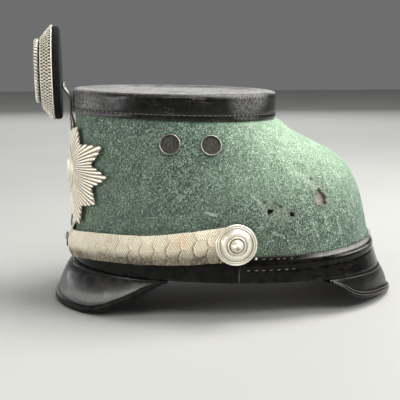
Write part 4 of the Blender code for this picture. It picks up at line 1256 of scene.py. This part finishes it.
def strap_point(u, t, lift, sign):
    """A point of the scales' face: distance from the front, -1 to 1 across, and millimetres over the face."""
    u, t, lift = np.broadcast_arrays(u, t, lift)
    height, width, dome = look_up(SCALE_TABLE, u)
    angle = np.interp(u, STRAP_GONE, STRAP_ANGLE)
    foot = off_crown(angle, np.full_like(angle, 10.0), np.full_like(angle, STRAP_OUT), True)
    side = crown_normal(angle, np.full_like(angle, 10.0), True)
    r = SCALE_EDGE + dome * np.maximum(0, np.cos(t * QUARTER)) ** 0.8 + lift
    p = foot + side * r[..., None]
    return np.stack([sign * p[..., 0], p[..., 1], height + 0.5 * width * t], -1)


def lobes(t, two):
    a = np.abs(t)
    if two:
        x = (a - 0.5) / 0.5
    else:
        x = np.where(a < 0.5, a / 0.5, (a - 1) / 0.5)
    return np.sqrt(np.maximum(0, 1 - x * x))


def chin_scales(name, node, sign, seed):
    pitch, deep = 8.8, 4.0
    rng = seeded(seed)
    phi = np.linspace(0, math.pi, 15)
    arc = -np.cos(phi) * 0.5
    for_two = np.unique(np.round(np.concatenate([arc - 0.5, arc + 0.5]), 6))
    for_one = np.unique(np.round(np.concatenate([arc[7:] - 1.0, arc, arc[:8] + 1.0]), 6))
    b, us, ts = Builder(), [], []
    count = int((STRAP_END - 4) / pitch) + 1
    start = STRAP_END - 13.8 - 1.2 - (count - 2) * pitch
    for k in range(-1, count):
        two = k % 2 == 0
        t = for_two if two else for_one
        front = start + k * pitch
        tip = 0.12 * rng.uniform(-1, 1)
        e = np.maximum(front - deep * lobes(t, two) + 0.25 * rng.uniform(-1, 1), 0.3)
        if k == -1:
            e = np.full_like(t, 0.3)
        back = min(front + pitch + 1.2, STRAP_END + 4)
        if back < 2.0:
            continue
        share = np.array([0.0, 0.0, 0.0, 0.012, 0.035, 0.07, 0.12, 0.2, 0.3, 0.42, 0.55, 0.7, 0.85, 1.0])
        fall = np.array([-1.3, -0.75, -0.3, -0.06, 0.0, 0.02, 0.02, 0.0, 0, 0, 0, 0, 0, 0])
        u = e[:, None] + (back - e)[:, None] * share
        u[:, 0] += 0.25
        u[:, 1] += 0.05
        top = 0.5 + tip - 0.95 * (u - e[:, None]) / (pitch + deep)
        # the drawn lip of each lobe stands up; it is worn down along the strap's upper side
        worn = (1 - 0.85 * smoothstep(t, 0.05, 0.6)[:, None]) * (0.25 + 0.75 * float(smoothstep(np.array(front), 30.0, 78.0)))
        top = top + 0.30 * worn * lobes(t, two)[:, None] * np.exp(-(u - e[:, None]) / 2.2) + 0.28 * worn * np.exp(-(((u - e[:, None]) - 0.5) / 0.42) ** 2)
        lift = top + fall
        # the plate's long edges fold down to the strap
        tt = np.concatenate([[t[0]], t, [t[-1]]])
        pu = np.concatenate([u[:1], u, u[-1:]])
        pl = np.concatenate([lift[:1] - 0.9, lift, lift[-1:] - 0.9])
        grid_t = np.broadcast_to(tt[:, None], pu.shape)
        p = strap_point(pu, grid_t, pl, sign)
        # painted shade under each plate's front edge
        value = np.clip(-fall * 1.0 - 0.8, 0, 1)[None, :] * np.concatenate([worn[:1], worn, worn[-1:]]) + np.zeros_like(pu)
        # painted shadow in the angle in front of the next plate's edge
        ahead = lobes(np.concatenate([[t[0]], t, [t[-1]]]), not two)[:, None]
        value = value + 1.2 * np.exp(-np.maximum(front + pitch - deep * ahead - pu, 0) / 0.62) * np.concatenate([worn[:1], worn, worn[-1:]])
        # each plate is painted a little darker behind its lip, so the lip stands out as a painted highlight
        behind = u - e[:, None]
        behind_lip_shade = 0.24 * smoothstep(behind, 0.7, 1.5) * np.exp(-behind / 4.5)
        behind_lip_shade = np.concatenate([behind_lip_shade[:1], behind_lip_shade, behind_lip_shade[-1:]])
        value = value + behind_lip_shade * np.concatenate([worn[:1], worn, worn[-1:]])
        # the lower half is painted darker, as painted shade under the light from above, with some lobes dirtier than
        # others
        soiled = rng.uniform(0.0, 0.42, 3)
        lobe = np.where(np.abs(grid_t) < 0.5, 1, np.where(grid_t < 0, 0, 2)) if not two else np.where(grid_t < 0, 0, 2)
        value = value + (0.66 + soiled[lobe]) * smoothstep(-grid_t, -0.06, 0.74)
        b.grid(p, flip=sign > 0, value=np.clip(value, 0, 1))
        us.append(pu.ravel())
        ts.append(grid_t.ravel())
    # the strap under them, painted dark as the shade under the plates
    u = np.concatenate([np.linspace(0.5, STRAP_END + 7, 90)])
    tt = np.concatenate([np.linspace(-0.985, 0.985, 15)])
    face = strap_point(u[:, None], tt[None, :], np.full((len(u), len(tt)), -0.55), sign)
    angle = np.interp(u, STRAP_GONE, STRAP_ANGLE)
    foot = off_crown(angle, np.full_like(angle, 10.0), np.full_like(angle, STRAP_OUT), True)
    foot[:, 0] *= sign
    low, high = face[:, :1].copy(), face[:, -1:].copy()
    low[..., :2], high[..., :2] = foot[:, None, :2], foot[:, None, :2]
    whole = np.concatenate([low, face, high], 1)
    before = b.n
    b.grid(whole, wrap_columns=True, flip=sign > 0, value=0.9, caps=True)
    us.append(np.repeat(u, whole.shape[1]))
    us.append(np.zeros(2))
    ts.append(np.tile(np.concatenate([[-1], tt, [1]]), len(u)))
    ts.append(np.zeros(2))
    height, width, _ = look_up(SCALE_TABLE, np.concatenate(us))
    verts = np.concatenate(b.v)
    return mesh_piece(
        name,
        verts,
        np.concatenate(b.f),
        SILVER,
        40,
        {"mark": np.concatenate(b.a), "along": np.concatenate(us), "across": np.concatenate(ts) * width / 2},
        np.concatenate(b.t),
        (node,),
    )


chin_scales("chin_scale_plates_left", "chin_scales_left", 1, 71)
chin_scales("chin_scale_plates_right", "chin_scales_right", -1, 72)


# ================================================================================================
# turned pieces
# ================================================================================================
def basis(axis):
    """Two directions square to an axis, the second one as near up as can be."""
    axis = np.asarray(axis, float) / np.linalg.norm(axis)
    u = np.cross([0, 0, 1.0], axis)
    if np.linalg.norm(u) < 1e-6:
        u = np.array([1.0, 0, 0])
    u /= np.linalg.norm(u)
    return u, np.cross(axis, u), axis


def turned(into, profile, place, axis, sides=64, closed=False, caps=True):
    """Rows of radius, height over the place, wear, painted dark reflection at both sides and painted dark reflection
    low down, turned about the axis.
    """
    u, v, w = basis(axis)
    turn = np.linspace(0, TAU, sides, endpoint=False)
    rows = np.array([row[:2] for row in profile], float)
    mark = np.array([row[2] if len(row) > 2 else 0.0 for row in profile])
    ring = np.cos(turn)[None, :, None] * u + np.sin(turn)[None, :, None] * v
    p = np.asarray(place) + rows[:, 0, None, None] * ring + rows[:, 1, None, None] * w
    side_reflection = np.array([row[3] if len(row) > 3 else 0.0 for row in profile])
    low = np.array([row[4] if len(row) > 4 else 0.0 for row in profile])
    value = mark[:, None] + side_reflection[:, None] * np.cos(turn)[None, :] ** 2 + low[:, None] * np.clip(-np.sin(turn), 0, 1)[None, :]
    into.grid(p, wrap_columns=True, wrap_rows=closed, value=np.clip(value, 0, 1), caps=caps and not closed)


def bosses():
    height, width, dome = look_up(SCALE_TABLE, STRAP_END)
    angle = np.interp(STRAP_END, STRAP_GONE, STRAP_ANGLE)
    x = float(off_crown(np.array([angle]), np.array([10.0]), np.array([STRAP_OUT]), True)[0, 0] + SCALE_EDGE + dome)
    # the fourth and fifth columns paint dark reflections: at both sides of the concave rings, and as a spot low on the
    # dome
    profile = [(1.9, -11.0), (1.9, 0.0), (12.9, 0.0, 0.6), (13.5, 0.12, 0.3), (13.8, 0.5), (13.8, 0.95), (13.6, 1.3), (13.2, 1.45), (12.8, 1.38, 0.1), (12.55, 1.12, 0.7)]
    profile += [(12.35, 1.1, 0.8), (12.15, 1.38, 0.2), (11.85, 1.6), (11.5, 1.58), (11.3, 1.35, 0.4), (11.15, 1.1, 0.9), (10.95, 1.12, 0.75)]
    profile += [(10.6, 1.35, 0.2, 0.45), (10.1, 1.85, 0.05, 0.5), (9.5, 2.5, 0, 0.34), (8.9, 3.05, 0, 0.14), (8.3, 3.4), (7.7, 3.55), (7.1, 3.5, 0, 0.25), (6.75, 3.3, 0.2, 0.5), (6.6, 3.1, 0.5, 0.4), (6.4, 3.1, 0.5, 0.4)]
    profile += [(6.22, 3.45, 0.2), (5.95, 3.85), (5.6, 4.0), (5.25, 3.88), (5.05, 3.55, 0.4), (4.9, 3.25, 0.9), (4.6, 3.2, 0.9)]
    profile += [(4.4, 3.5, 0.6), (4.25, 4.2, 0.2), (4.05, 5.0), (3.65, 5.95, 0, 0.2), (3.1, 6.85), (2.4, 7.65, 0, 0, 0.3), (1.6, 8.25, 0, 0, 0.8), (0.85, 8.65, 0.15, 0, 0.8), (0.3, 8.8, 0.35, 0, 0.3)]
    for name, node, sign in (("boss_dome_left", "boss_left", 1), ("boss_dome_right", "boss_right", -1)):
        b = Builder()
        turned(b, profile, (sign * (x + GAP), BOSS_Y, BOSS_H), (sign, 0, 0), 96)
        b.piece(name, BOSS_SILVER, "silvered_metal", 55, (node,))


bosses()


def clasp():
    height, width, dome = look_up(SCALE_TABLE, 0.3)
    y = float(crown(-QUARTER, 10.0)[1]) - BAND_OUT - GAP - 0.5 - SCALE_EDGE - float(dome) - GAP
    place = np.array([0, y, float(height) + 3.2])
    b = Builder()
    turned(b, [(1.2, 0.0), (3.2, 0.0, 0.3), (3.4, 0.25), (3.4, 0.7), (3.1, 1.0), (2.7, 1.1, 0.5), (2.45, 1.3), (2.2, 1.6), (1.6, 1.85), (0.8, 1.98), (0.3, 2.0)], place, (0, -1, 0), 48)
    b.piece("clasp_stud", STEEL, "steel", 50, ("scale_clasp",))
    # the leather end that the scales are laced to, just under the stud
    t = Builder()
    x = np.linspace(-2.6, 2.6, 9)
    rows = []
    for h, out in ((-4.4, 0.25), (-4.2, 0.8), (-3.0, 1.15), (-1.6, 1.2), (-0.6, 0.9), (-0.4, 0.3), (-0.6, 0.05), (-4.2, 0.05)):
        rows.append(np.stack([x, np.full_like(x, y - out) + 0.1 * (x / 2.6) ** 2, np.full_like(x, place[2] + h - 2.6) + 0.25 * (1 - (x / 2.6) ** 2)], -1))
    t.grid(np.array(rows).transpose(1, 0, 2), wrap_columns=True, caps=True, flip=False, value=0.8)
    t.piece("clasp_tongue", EDGE_LEATHER, "patent_leather", 50)


clasp()


# ================================================================================================
# front plate: a twelve-rayed sunburst of half-round reeds, with a plain domed oval
# ================================================================================================
PLATE_H, PLATE_HALF_W, PLATE_UP, PLATE_DOWN = 65.0, 62.0, 36.5, 43.0
PLATE_REACH = (0.98, 1.12, 1.0, 1.0, 1.0, 1.12, 0.98, 0.92, 0.96, 1.0, 0.96, 0.92)
PLATE_BACK, PLATE_THICK, PLATE_NOTCH, PLATE_DOME = 3.0, 1.2, 0.76, 2.6
PLATE_GONE, PLATE_ANGLE = arc_table(PLATE_H, PLATE_BACK)


def on_plate(across, up, out):
    across, up, out = np.broadcast_arrays(np.asarray(across, float), up, out)
    angle = np.interp(np.abs(across), PLATE_GONE, PLATE_ANGLE)
    angle = np.where(across >= 0, angle, -math.pi - angle)
    return off_crown(angle, PLATE_H + up, out)


def plate_polar(share, a, out):
    share, a, out = np.broadcast_arrays(np.asarray(share, float), a, out)
    tall = np.where(np.sin(a) > 0, PLATE_UP, PLATE_DOWN)
    return on_plate(PLATE_HALF_W * share * np.cos(a), tall * share * np.sin(a), out)


def ray_reach(a):
    """How far the outline reaches: 1 is the plate's own ellipse."""
    rays = len(PLATE_REACH)
    x = (a / TAU * rays) % rays
    near = np.round(x).astype(int) % rays
    ray = 1 - 2 * np.abs(x - np.round(x))
    return PLATE_NOTCH + (np.array(PLATE_REACH)[near] - PLATE_NOTCH) * ray


def front_plate():
    b = Builder()
    # the sheet that carries the reeds, a little inside their ends
    a = np.linspace(0, TAU, 288, endpoint=False)
    lip = ray_reach(a) ** 1.0
    rows = [(0.05, PLATE_BACK, 0), (0.4, PLATE_BACK, 0), (0.75, PLATE_BACK, 0), (0.975, PLATE_BACK, 0), (0.985, PLATE_BACK + 0.25, 0.6), (0.975, PLATE_BACK + 0.5, 0.9)]
    rows += [(0.8, PLATE_BACK + 0.75, 1.0), (0.6, PLATE_BACK + 0.85, 1.0), (0.4, PLATE_BACK + 0.9, 1.0), (0.2, PLATE_BACK + 0.9, 1.0)]
    sheet = np.array([plate_polar(s * lip if s > 0.5 else s * (lip + (1 - lip) * 0.5), a, np.full_like(a, o)) for s, o, _ in rows])
    b.grid(sheet, wrap_columns=True, value=np.repeat(np.array([m for *_, m in rows])[:, None], len(a), 1), caps=True)
    # reeds
    rays, each = len(PLATE_REACH), 7
    total = rays * each
    w = np.linspace(-1, 1, 9)
    for i in range(total):
        middle = TAU * (i + 0.5 - each / 2) / total
        mine = abs(((i % each) - (each - 1) / 2) / (each / 2))
        reach = float(ray_reach(np.array([middle % TAU]))[0]) * (1.0 + 0.012 * math.cos(5 * middle))
        along = np.concatenate([np.linspace(0.27, reach - 0.045, 16), reach - 0.045 * (1 - np.sin(np.linspace(0.25, 1, 5) * QUARTER))])
        narrow = np.concatenate([np.ones(16), np.sqrt(np.maximum(0.02, 1 - np.sin(np.linspace(0.25, 1, 5) * QUARTER) ** 2))])
        half = math.pi / total * 0.97
        ang = middle + w[None, :] * half * narrow[:, None]
        rise = (0.62 - 0.16 * mine) * (0.65 + 0.35 * np.clip((along - 0.27) / 0.3, 0, 1))
        lift = PLATE_BACK + 0.62 + (rise * narrow)[:, None] * (1 - np.abs(w[None, :]) ** 2.2) ** 0.5 + 0.42 * (1 - mine) * np.clip((reach - along) / reach, 0, 1)[:, None]
        lift = lift + 0.16 * np.exp(-(((along - reach + 0.03) / 0.02) ** 2))[:, None]
        p = plate_polar(along[:, None], ang, lift)
        value = np.clip(np.abs(w[None, :]) ** 3 * 1.0, 0, 1) + np.zeros_like(lift)
        low = plate_polar(along[:, None], ang[:, [0, -1]], np.full((len(along), 2), PLATE_BACK + 0.2))
        p = np.concatenate([low[:, :1], p, low[:, 1:]], 1)
        value = np.concatenate([np.ones((len(along), 1)), value, np.ones((len(along), 1))], 1)
        b.grid(p, wrap_columns=True, value=value, caps=True, flip=False)
    # the oval: a raised moulding, a row of beads round it and a smooth dome
    a = np.linspace(0, TAU, 160, endpoint=False)
    face = PLATE_BACK + PLATE_THICK
    rows = [(0.415, face - 0.6, 0.9), (0.41, face + 0.15, 0.5), (0.40, face + 0.55, 0), (0.385, face + 0.75, 0), (0.37, face + 0.6, 0.3), (0.362, face + 0.3, 1.0)]
    rows += [(0.315, face + 0.3, 1.0), (0.305, face + 0.8, 0.5), (0.296, face + 1.15, 0), (0.282, face + 1.3, 0), (0.268, face + 1.15, 0.3), (0.258, face + 0.95, 1.0)]
    rows += [(0.25, face + 0.95, 0.9), (0.235, face + 1.25, 0.2), (0.20, face + 1.75, 0), (0.16, face + 2.15, 0), (0.11, face + 2.42, 0), (0.06, face + 2.56, 0), (0.02, face + 2.6, 0)]
    # the oval is drawn taller than wide, as a cap plate's shield is
    oval = []
    for s, o, _ in rows:
        oval.append(on_plate(46.0 * s * np.cos(a), np.where(np.sin(a) > 0, 40.0, 43.0) * s * np.sin(a), np.full_like(a, o)))
    oval = np.array(oval)
    b.grid(oval, wrap_columns=True, value=np.repeat(np.array([m for *_, m in rows])[:, None], len(a), 1), caps=True)
    count = 64
    t = TAU * np.arange(count) / count
    s = 0.338
    where = on_plate(46.0 * s * np.cos(t), np.where(np.sin(t) > 0, 40.0, 43.0) * s * np.sin(t), np.full_like(t, face + 0.42))
    ahead = np.roll(where, -1, 0) - np.roll(where, 1, 0)
    ahead /= np.linalg.norm(ahead, axis=1, keepdims=True)
    angle = np.interp(np.abs(46.0 * s * np.cos(t)), PLATE_GONE, PLATE_ANGLE)
    normal = crown_normal(np.where(np.cos(t) >= 0, angle, -math.pi - angle), PLATE_H)
    across = np.cross(normal, ahead)
    beads(where, ahead, across, normal, (0.66, 0.66, 0.6), 8, 5, 0.0, b)
    b.piece("sunburst_plate", PLATE_SILVER, "silvered_metal", 50, ("front_plate",))


front_plate()


# ================================================================================================
# cockade
# ================================================================================================
LEAN = math.radians(2.8)
COCKADE_AT = np.array([0, -108.85, 132.5])
FACING = np.array([0, -math.cos(LEAN), -math.sin(LEAN)])
UPWARD = np.array([0, -math.sin(LEAN), math.cos(LEAN)])
LEVEL = np.array([1.0, 0, 0])


def on_cockade(depth, tall, wide, a, rise=0.0):
    depth, tall, wide, a = np.broadcast_arrays(np.asarray(depth, float), tall, wide, a)
    return COCKADE_AT + UPWARD * rise + FACING * depth[..., None] + UPWARD * (tall * np.sin(a))[..., None] + LEVEL * (wide * np.cos(a))[..., None]


def oval_steps(tall, wide, count):
    """Angles at even distances round an oval."""
    a = np.linspace(0, TAU, 4001)
    d = np.hypot(-wide * np.sin(a), tall * np.cos(a))
    gone = np.concatenate([[0], np.cumsum((d[1:] + d[:-1]) / 2 * np.diff(a))])
    return np.interp(np.arange(count) / count * gone[-1], gone, a)


def rope(into, tall, wide, depth, radius, twists, strands, rise=0.0, sides=8, value=0.0, steps=6, which=None, strand=0.62):
    """A twisted cord laid round an oval."""
    n = twists * steps
    a = oval_steps(tall, wide, n)
    middle = on_cockade(depth, tall, wide, a, rise)
    ahead = np.roll(middle, -1, 0) - np.roll(middle, 1, 0)
    ahead /= np.linalg.norm(ahead, axis=1, keepdims=True)
    out = np.cross(ahead, FACING)
    for k in range(strands):
        if which is not None and k not in which:
            continue
        turn = TAU * (np.arange(n) / steps) / strands + TAU * k / strands
        # a whole number of turns closes each strand on itself or on the next
        line = middle + (out * np.cos(turn)[:, None] + FACING * np.sin(turn)[:, None]) * radius * 0.55
        shift = TAU * (twists / strands)
        closed = abs(shift / TAU - round(shift / TAU)) < 1e-6
        p = tube(line, radius * strand, sides, closed=True)
        into.grid(p, wrap_columns=True, wrap_rows=False, value=value)
        if closed:
            first, last = p[0], p[-1]
            into.grid(np.array([last, first]), wrap_columns=True, value=value)


def cockade():
    # the cloth backing, with a soft rolled edge and slight puckers
    a = oval_steps(33.0, 24.6, 200)
    rows = [(-5.2, 12.0, 9.0), (-5.2, 26.0, 18.6), (-5.15, 30.0, 21.9), (-4.95, 31.3, 23.0), (-4.5, 32.2, 23.8), (-3.8, 32.75, 24.3), (-2.9, 33.0, 24.55), (-2.0, 33.05, 24.65), (-1.1, 33.0, 24.6), (-0.45, 32.85, 24.45), (-0.32, 31.5, 23.2), (-0.32, 14.0, 10.0)]
    ring = np.array([on_cockade(d, t, w, a) for d, t, w in rows])
    tuck = 0.16 * np.sin(a * 46) * 0.6 + 0.2 * value_noise(ring, 7, 81, 2)
    out = UPWARD * np.sin(a)[:, None] + LEVEL * np.cos(a)[:, None]
    strength = np.array([0, 0.2, 0.5, 0.8, 1, 1, 1, 1, 0.8, 0.3, 0, 0])[:, None]
    ring = ring + out[None] * (tuck * strength)[..., None] * 0.6
    b = Builder()
    b.grid(ring, wrap_columns=True, caps=True, flip=True, value=0.0)
    b.piece("cockade_cloth", BLACK_CLOTH, "cloth_backing", 60, ("cockade_back",))

    # the cone: a dark core with six braided rows of wire
    core = Builder()
    a = oval_steps(33.0, 24.6, 160)
    rows = [(0.0, 14.0, 8.0, 1.0), (0.0, 33.0, 24.3, 1.0), (0.5, 33.3, 24.6, 0.8), (1.0, 33.0, 24.3, 1.0), (8.0, 24.9, 16.9, 1.0), (8.6, 24.2, 16.2, 1.0), (9.0, 23.6, 15.6, 1.0), (8.4, 22.6, 14.6, 1.0), (8.4, 10.0, 6.0, 1.0)]
    core.grid(np.array([on_cockade(d, t, w, a) for d, t, w, _ in rows]), wrap_columns=True, caps=True, flip=True, value=np.repeat(np.array([r[3] for r in rows])[:, None], len(a), 1))
    core.piece("cockade_cone_core", CORE_WIRE, "silver_wire", 50, ("cockade_cone",))

    wire = Builder()
    lanes = 4
    rng = seeded(83)
    for lane in range(lanes):
        s0, s1 = lane / lanes, (lane + 1) / lanes
        for half, lean in ((0.26, 1), (0.74, -1)):
            s = s0 + (s1 - s0) * half
            depth, tall, wide = 1.15 + 7.2 * s, 33.35 - 8.3 * s, 24.75 - 7.7 * s
            around = int(TAU * math.hypot(tall, wide) / math.sqrt(2) / 2.3)
            t = (oval_steps(tall, wide, around) + (0.5 * TAU / around if lane % 2 else 0)) % TAU
            centre = on_cockade(depth, tall, wide, t)
            ahead = np.roll(centre, -1, 0) - np.roll(centre, 1, 0)
            ahead /= np.linalg.norm(ahead, axis=1, keepdims=True)
            inward = on_cockade(8.35, 25.05, 17.05, t) - on_cockade(1.15, 33.35, 24.75, t)
            inward /= np.linalg.norm(inward, axis=1, keepdims=True)
            normal = np.cross(ahead, inward)
            normal = normal * np.sign((normal @ FACING))[:, None]
            lengthways = ahead * 0.74 + inward * 0.72 * lean
            lengthways += rng.uniform(-0.07, 0.07, lengthways.shape)
            lengthways /= np.linalg.norm(lengthways, axis=1, keepdims=True)
            across = np.cross(normal, lengthways)
            # each loop is two strands side by side, with the dark core showing between loops
            for shift in (-0.27, 0.27):
                size = np.stack([np.full(around, 1.08), np.full(around, 0.30), np.full(around, 0.44)], -1) * rng.uniform(0.9, 1.06, (around, 1))
                beads(centre + normal * 0.26 + across * shift, lengthways, across, normal, size, 6, 3, rng.uniform(0.0, 0.2, around), wire)
    wire.piece("cockade_braid", WIRE_SILVER, "silver_wire", None)

    edge = Builder()
    rope(edge, 33.45, 24.8, 0.62, 0.42, 150, 3, steps=6, sides=6)
    rope(edge, 24.3, 16.3, 8.75, 0.42, 108, 3, steps=6, sides=6)
    edge.piece("cockade_edge_cords", WIRE_SILVER, "silver_wire", None)

    # the centre: a domed cloth field inside a cord of silver and black
    field = Builder()
    a = oval_steps(22.0, 14.0, 140)
    rows = [(9.5, 6.0, 4.0), (9.5, 19.4, 11.2), (10.1, 20.4, 12.3), (11.2, 20.6, 12.5), (12.2, 19.8, 11.8), (12.8, 18.4, 10.8), (13.3, 15.0, 8.4), (13.65, 10.0, 5.6), (13.85, 5.0, 2.8)]
    ring = np.array([on_cockade(d, t, w, a, 1.6) for d, t, w in rows])
    field.grid(ring, wrap_columns=True, caps=True, flip=True, value=0.0)
    field.piece("cockade_field", BLACK_CLOTH, "cloth_backing", 60, ("cockade_centre",))
    silver, black = Builder(), Builder()
    rope(silver, 21.1, 12.9, 11.6, 1.62, 96, 4, 1.6, 8, 0.05, 6, (0, 2), 0.56)
    rope(black, 21.1, 12.9, 11.6, 1.62, 96, 4, 1.6, 6, 0.0, 6, (1, 3), 0.38)
    silver.piece("cockade_cord_silver", WIRE_SILVER, "silver_wire", None)
    black.piece("cockade_cord_black", BLACK_CLOTH, "cloth_backing", None)
    ring = Builder()
    rope(ring, 18.9, 11.0, 12.95, 0.42, 84, 3, 1.6, 6, 0.1, 6)
    ring.piece("cockade_inner_cord", WIRE_SILVER, "silver_wire", None)


cockade()


def prong():
    lid_front, felt_front = LID_FRONT - GAP - 1.8, float(crown(-QUARTER, 90.0)[1])
    clear = GAP + 0.2 + 0.8
    leg = [
        (felt_front - clear + 0.3, 66.0),
        (felt_front - clear + 0.2, 84.0),
        (felt_front - clear, 96.0),
        (lid_front - clear + 0.2, 103.5),
        (lid_front - clear, 108.0),
        (lid_front - clear, 113.5),
        (lid_front - clear - 1.2, 116.5),
        (lid_front - clear - 4.2, 121.0),
        (lid_front - clear - 5.3, 122.6),
    ]
    points = [(5.0, y, h) for y, h in leg]
    y, h = leg[-1]
    bow = [(4.5, y - 0.1, h + 1.6), (2.8, y - 0.1, h + 2.6), (0.0, y - 0.1, h + 3.0)]
    points += bow + [(-a, b, c) for a, b, c in reversed(bow[:-1])] + [(-a, b, c) for a, b, c in reversed(points)]
    points = np.array(points, float)
    gone = np.concatenate([[0], np.cumsum(np.linalg.norm(np.diff(points, axis=0), axis=1))])
    at, fine = smooth_table(np.concatenate([gone[:, None], points], 1), 260)
    b = Builder()
    b.grid(tube(fine, 0.8, 12), wrap_columns=True, caps=True, value=0.1)
    b.piece("cockade_wire_fork", STEEL, "steel", None, ("cockade_prong",))


prong()


# ================================================================================================
# ventilators
# ================================================================================================
def vents():
    rng = seeded(91)
    for place_name, y in (("front", -29.2), ("rear", -1.9)):
        for side_name, sign in (("left", 1), ("right", -1)):
            a = angle_at_y(y, VENT_H)
            place, axis = crown(a, VENT_H), crown_normal(a, VENT_H)
            place = place * np.array([sign, 1, 1])
            axis = axis * np.array([sign, 1, 1])
            profile = [(6.2, -4.4, 0.8), (6.6, -4.4, 0.8), (6.6, 0.3, 0.8), (7.1, 0.1, 0.6), (7.22, 0.4, 0.2), (7.22, 0.8), (7.1, 1.15), (6.88, 1.4), (6.62, 1.45), (6.4, 1.3), (6.3, 1.0, 0.2), (6.25, 0.6, 0.5), (6.2, -0.6, 0.8)]
            b = Builder()
            turned(b, profile, place, axis, 72, closed=True)
            # worn unevenly: small waves along the rolled rim
            for k in range(len(b.v)):
                d = b.v[k] - place
                over = d @ axis
                b.v[k] = b.v[k] + axis * (0.10 * value_noise(b.v[k], 2.6, 92 + sign, 2) * (over > 0.8))[:, None]
            b.piece("eyelet_%s_%s" % (place_name, side_name), STEEL, "steel", 50, ("vent_ring_%s_%s" % (place_name, side_name),))

            u, v, w = basis(axis)
            s = Builder()
            pitch, wire = 0.86, 0.23
            turn = rng.uniform(-0.15, 0.15) + 0.2
            e1, e2 = u * math.cos(turn) + v * math.sin(turn), v * math.cos(turn) - u * math.sin(turn)
            for first, second, phase in ((e1, e2, 0.0), (e2, e1, math.pi)):
                for k in range(-7, 8):
                    off = (k + 0.5 * 0) * pitch
                    reach = 6.25**2 - off**2
                    if reach <= 0.4:
                        continue
                    reach = math.sqrt(reach)
                    n = int(reach / 0.16)
                    x = np.linspace(-reach, reach, n)
                    wave = 0.2 * np.cos(math.pi * x / pitch + phase + math.pi * k)
                    line = place + first * x[:, None] + second * off + w * (wave + 0.42 - 0.5 * ((x / 6.2) ** 2 + (off / 6.2) ** 2))[:, None]
                    s.grid(tube(line, wire, 5), wrap_columns=True, caps=True, value=0.15)
            s.piece("woven_screen_%s_%s" % (place_name, side_name), DARK_WIRE, "dark_mesh", None, ("vent_screen_%s_%s" % (place_name, side_name),))


vents()

# ================================================================================================
# floor, light and camera
# ================================================================================================
def surroundings():
    half = 2.6
    data = bpy.data.meshes.new("floor")
    data.from_pydata([(-half, -half, 0), (half, -half, 0), (half, half, 0), (-half, half, 0)], [], [(0, 1, 2, 3)])
    floor = bpy.data.objects.new("floor", data)
    bpy.context.scene.collection.objects.link(floor)
    f = Finish("pale_floor", (0.42, 0.42, 0.41), 0.8, Specular_IOR_Level=0.2)
    f.colour(f.mix(f.span(f.noise(400.0, 2, 0.5), 0.35, 0.65), (0.41, 0.41, 0.40), (0.44, 0.44, 0.43)))
    data.materials.append(f.m)

    world_look = bpy.data.worlds.new("studio")
    bpy.context.scene.world = world_look
    world_look.use_nodes = True
    back = world_look.node_tree.nodes["Background"]
    back.inputs["Color"].default_value = (0.86, 0.87, 0.88, 1)
    back.inputs["Strength"].default_value = 0.18

    for name, place, aim, size, watts, colour in (
        ("key", (-0.05, 0.50, 1.15), (0.0, 0.03, 0.10), (0.9, 0.6), 19.5, (1.0, 0.985, 0.95)),
        ("rear", (-0.20, 1.18, 0.82), (0.0, 0.05, 0.08), (1.1, 0.34), 6.5, (1.0, 0.99, 0.96)),
        ("rear_side", (0.60, 1.02, 0.80), (0.03, 0.05, 0.08), (0.8, 0.34), 8.5, (1.0, 0.99, 0.96)),
        ("front", (-0.60, -1.40, 0.10), (0.0, -0.08, 0.09), (1.8, 0.12), 3.4, (0.98, 0.99, 1.0)),
        ("front_middle", (0.56, -1.26, 0.20), (0.06, -0.08, 0.02), (0.66, 0.15), 4.4, (0.98, 0.99, 1.0)),
        ("front_side", (0.72, -0.95, 0.50), (0.07, -0.06, 0.03), (0.22, 0.45), 2.8, (1.0, 0.99, 0.97)),
        ("behind", (-1.60, 0.0, 0.58), (0.0, 0.0, 0.15), (1.5, 0.7), 8.0, (1.0, 1.0, 1.0)),
        ("camera_side", (1.15, 0.15, 1.25), (0.0, 0.0, 0.10), (0.8, 0.5), 7.5, (1.0, 1.0, 1.0)),
    ):
        lamp = bpy.data.lights.new(name, "AREA")
        lamp.shape = "RECTANGLE"
        lamp.size, lamp.size_y = size
        lamp.energy = watts
        lamp.color = colour
        made = bpy.data.objects.new(name, lamp)
        made.location = place
        made.rotation_euler = (Vector(aim) - Vector(place)).to_track_quat("-Z", "Y").to_euler()
        made.visible_camera = False
        bpy.context.scene.collection.objects.link(made)

    lens = bpy.data.cameras.new("camera")
    lens.sensor_width = 36.0
    lens.lens = 90.36
    lens.clip_start, lens.clip_end = 0.01, 20.0
    eye = bpy.data.objects.new("camera", lens)
    eye.location = (0.7298, -0.08235, 0.19176)
    eye.rotation_euler = (math.radians(80.5), 0, math.radians(84.5))
    bpy.context.scene.collection.objects.link(eye)
    bpy.context.scene.camera = eye
    bpy.context.scene.view_settings.view_transform = "Standard"


surroundings()
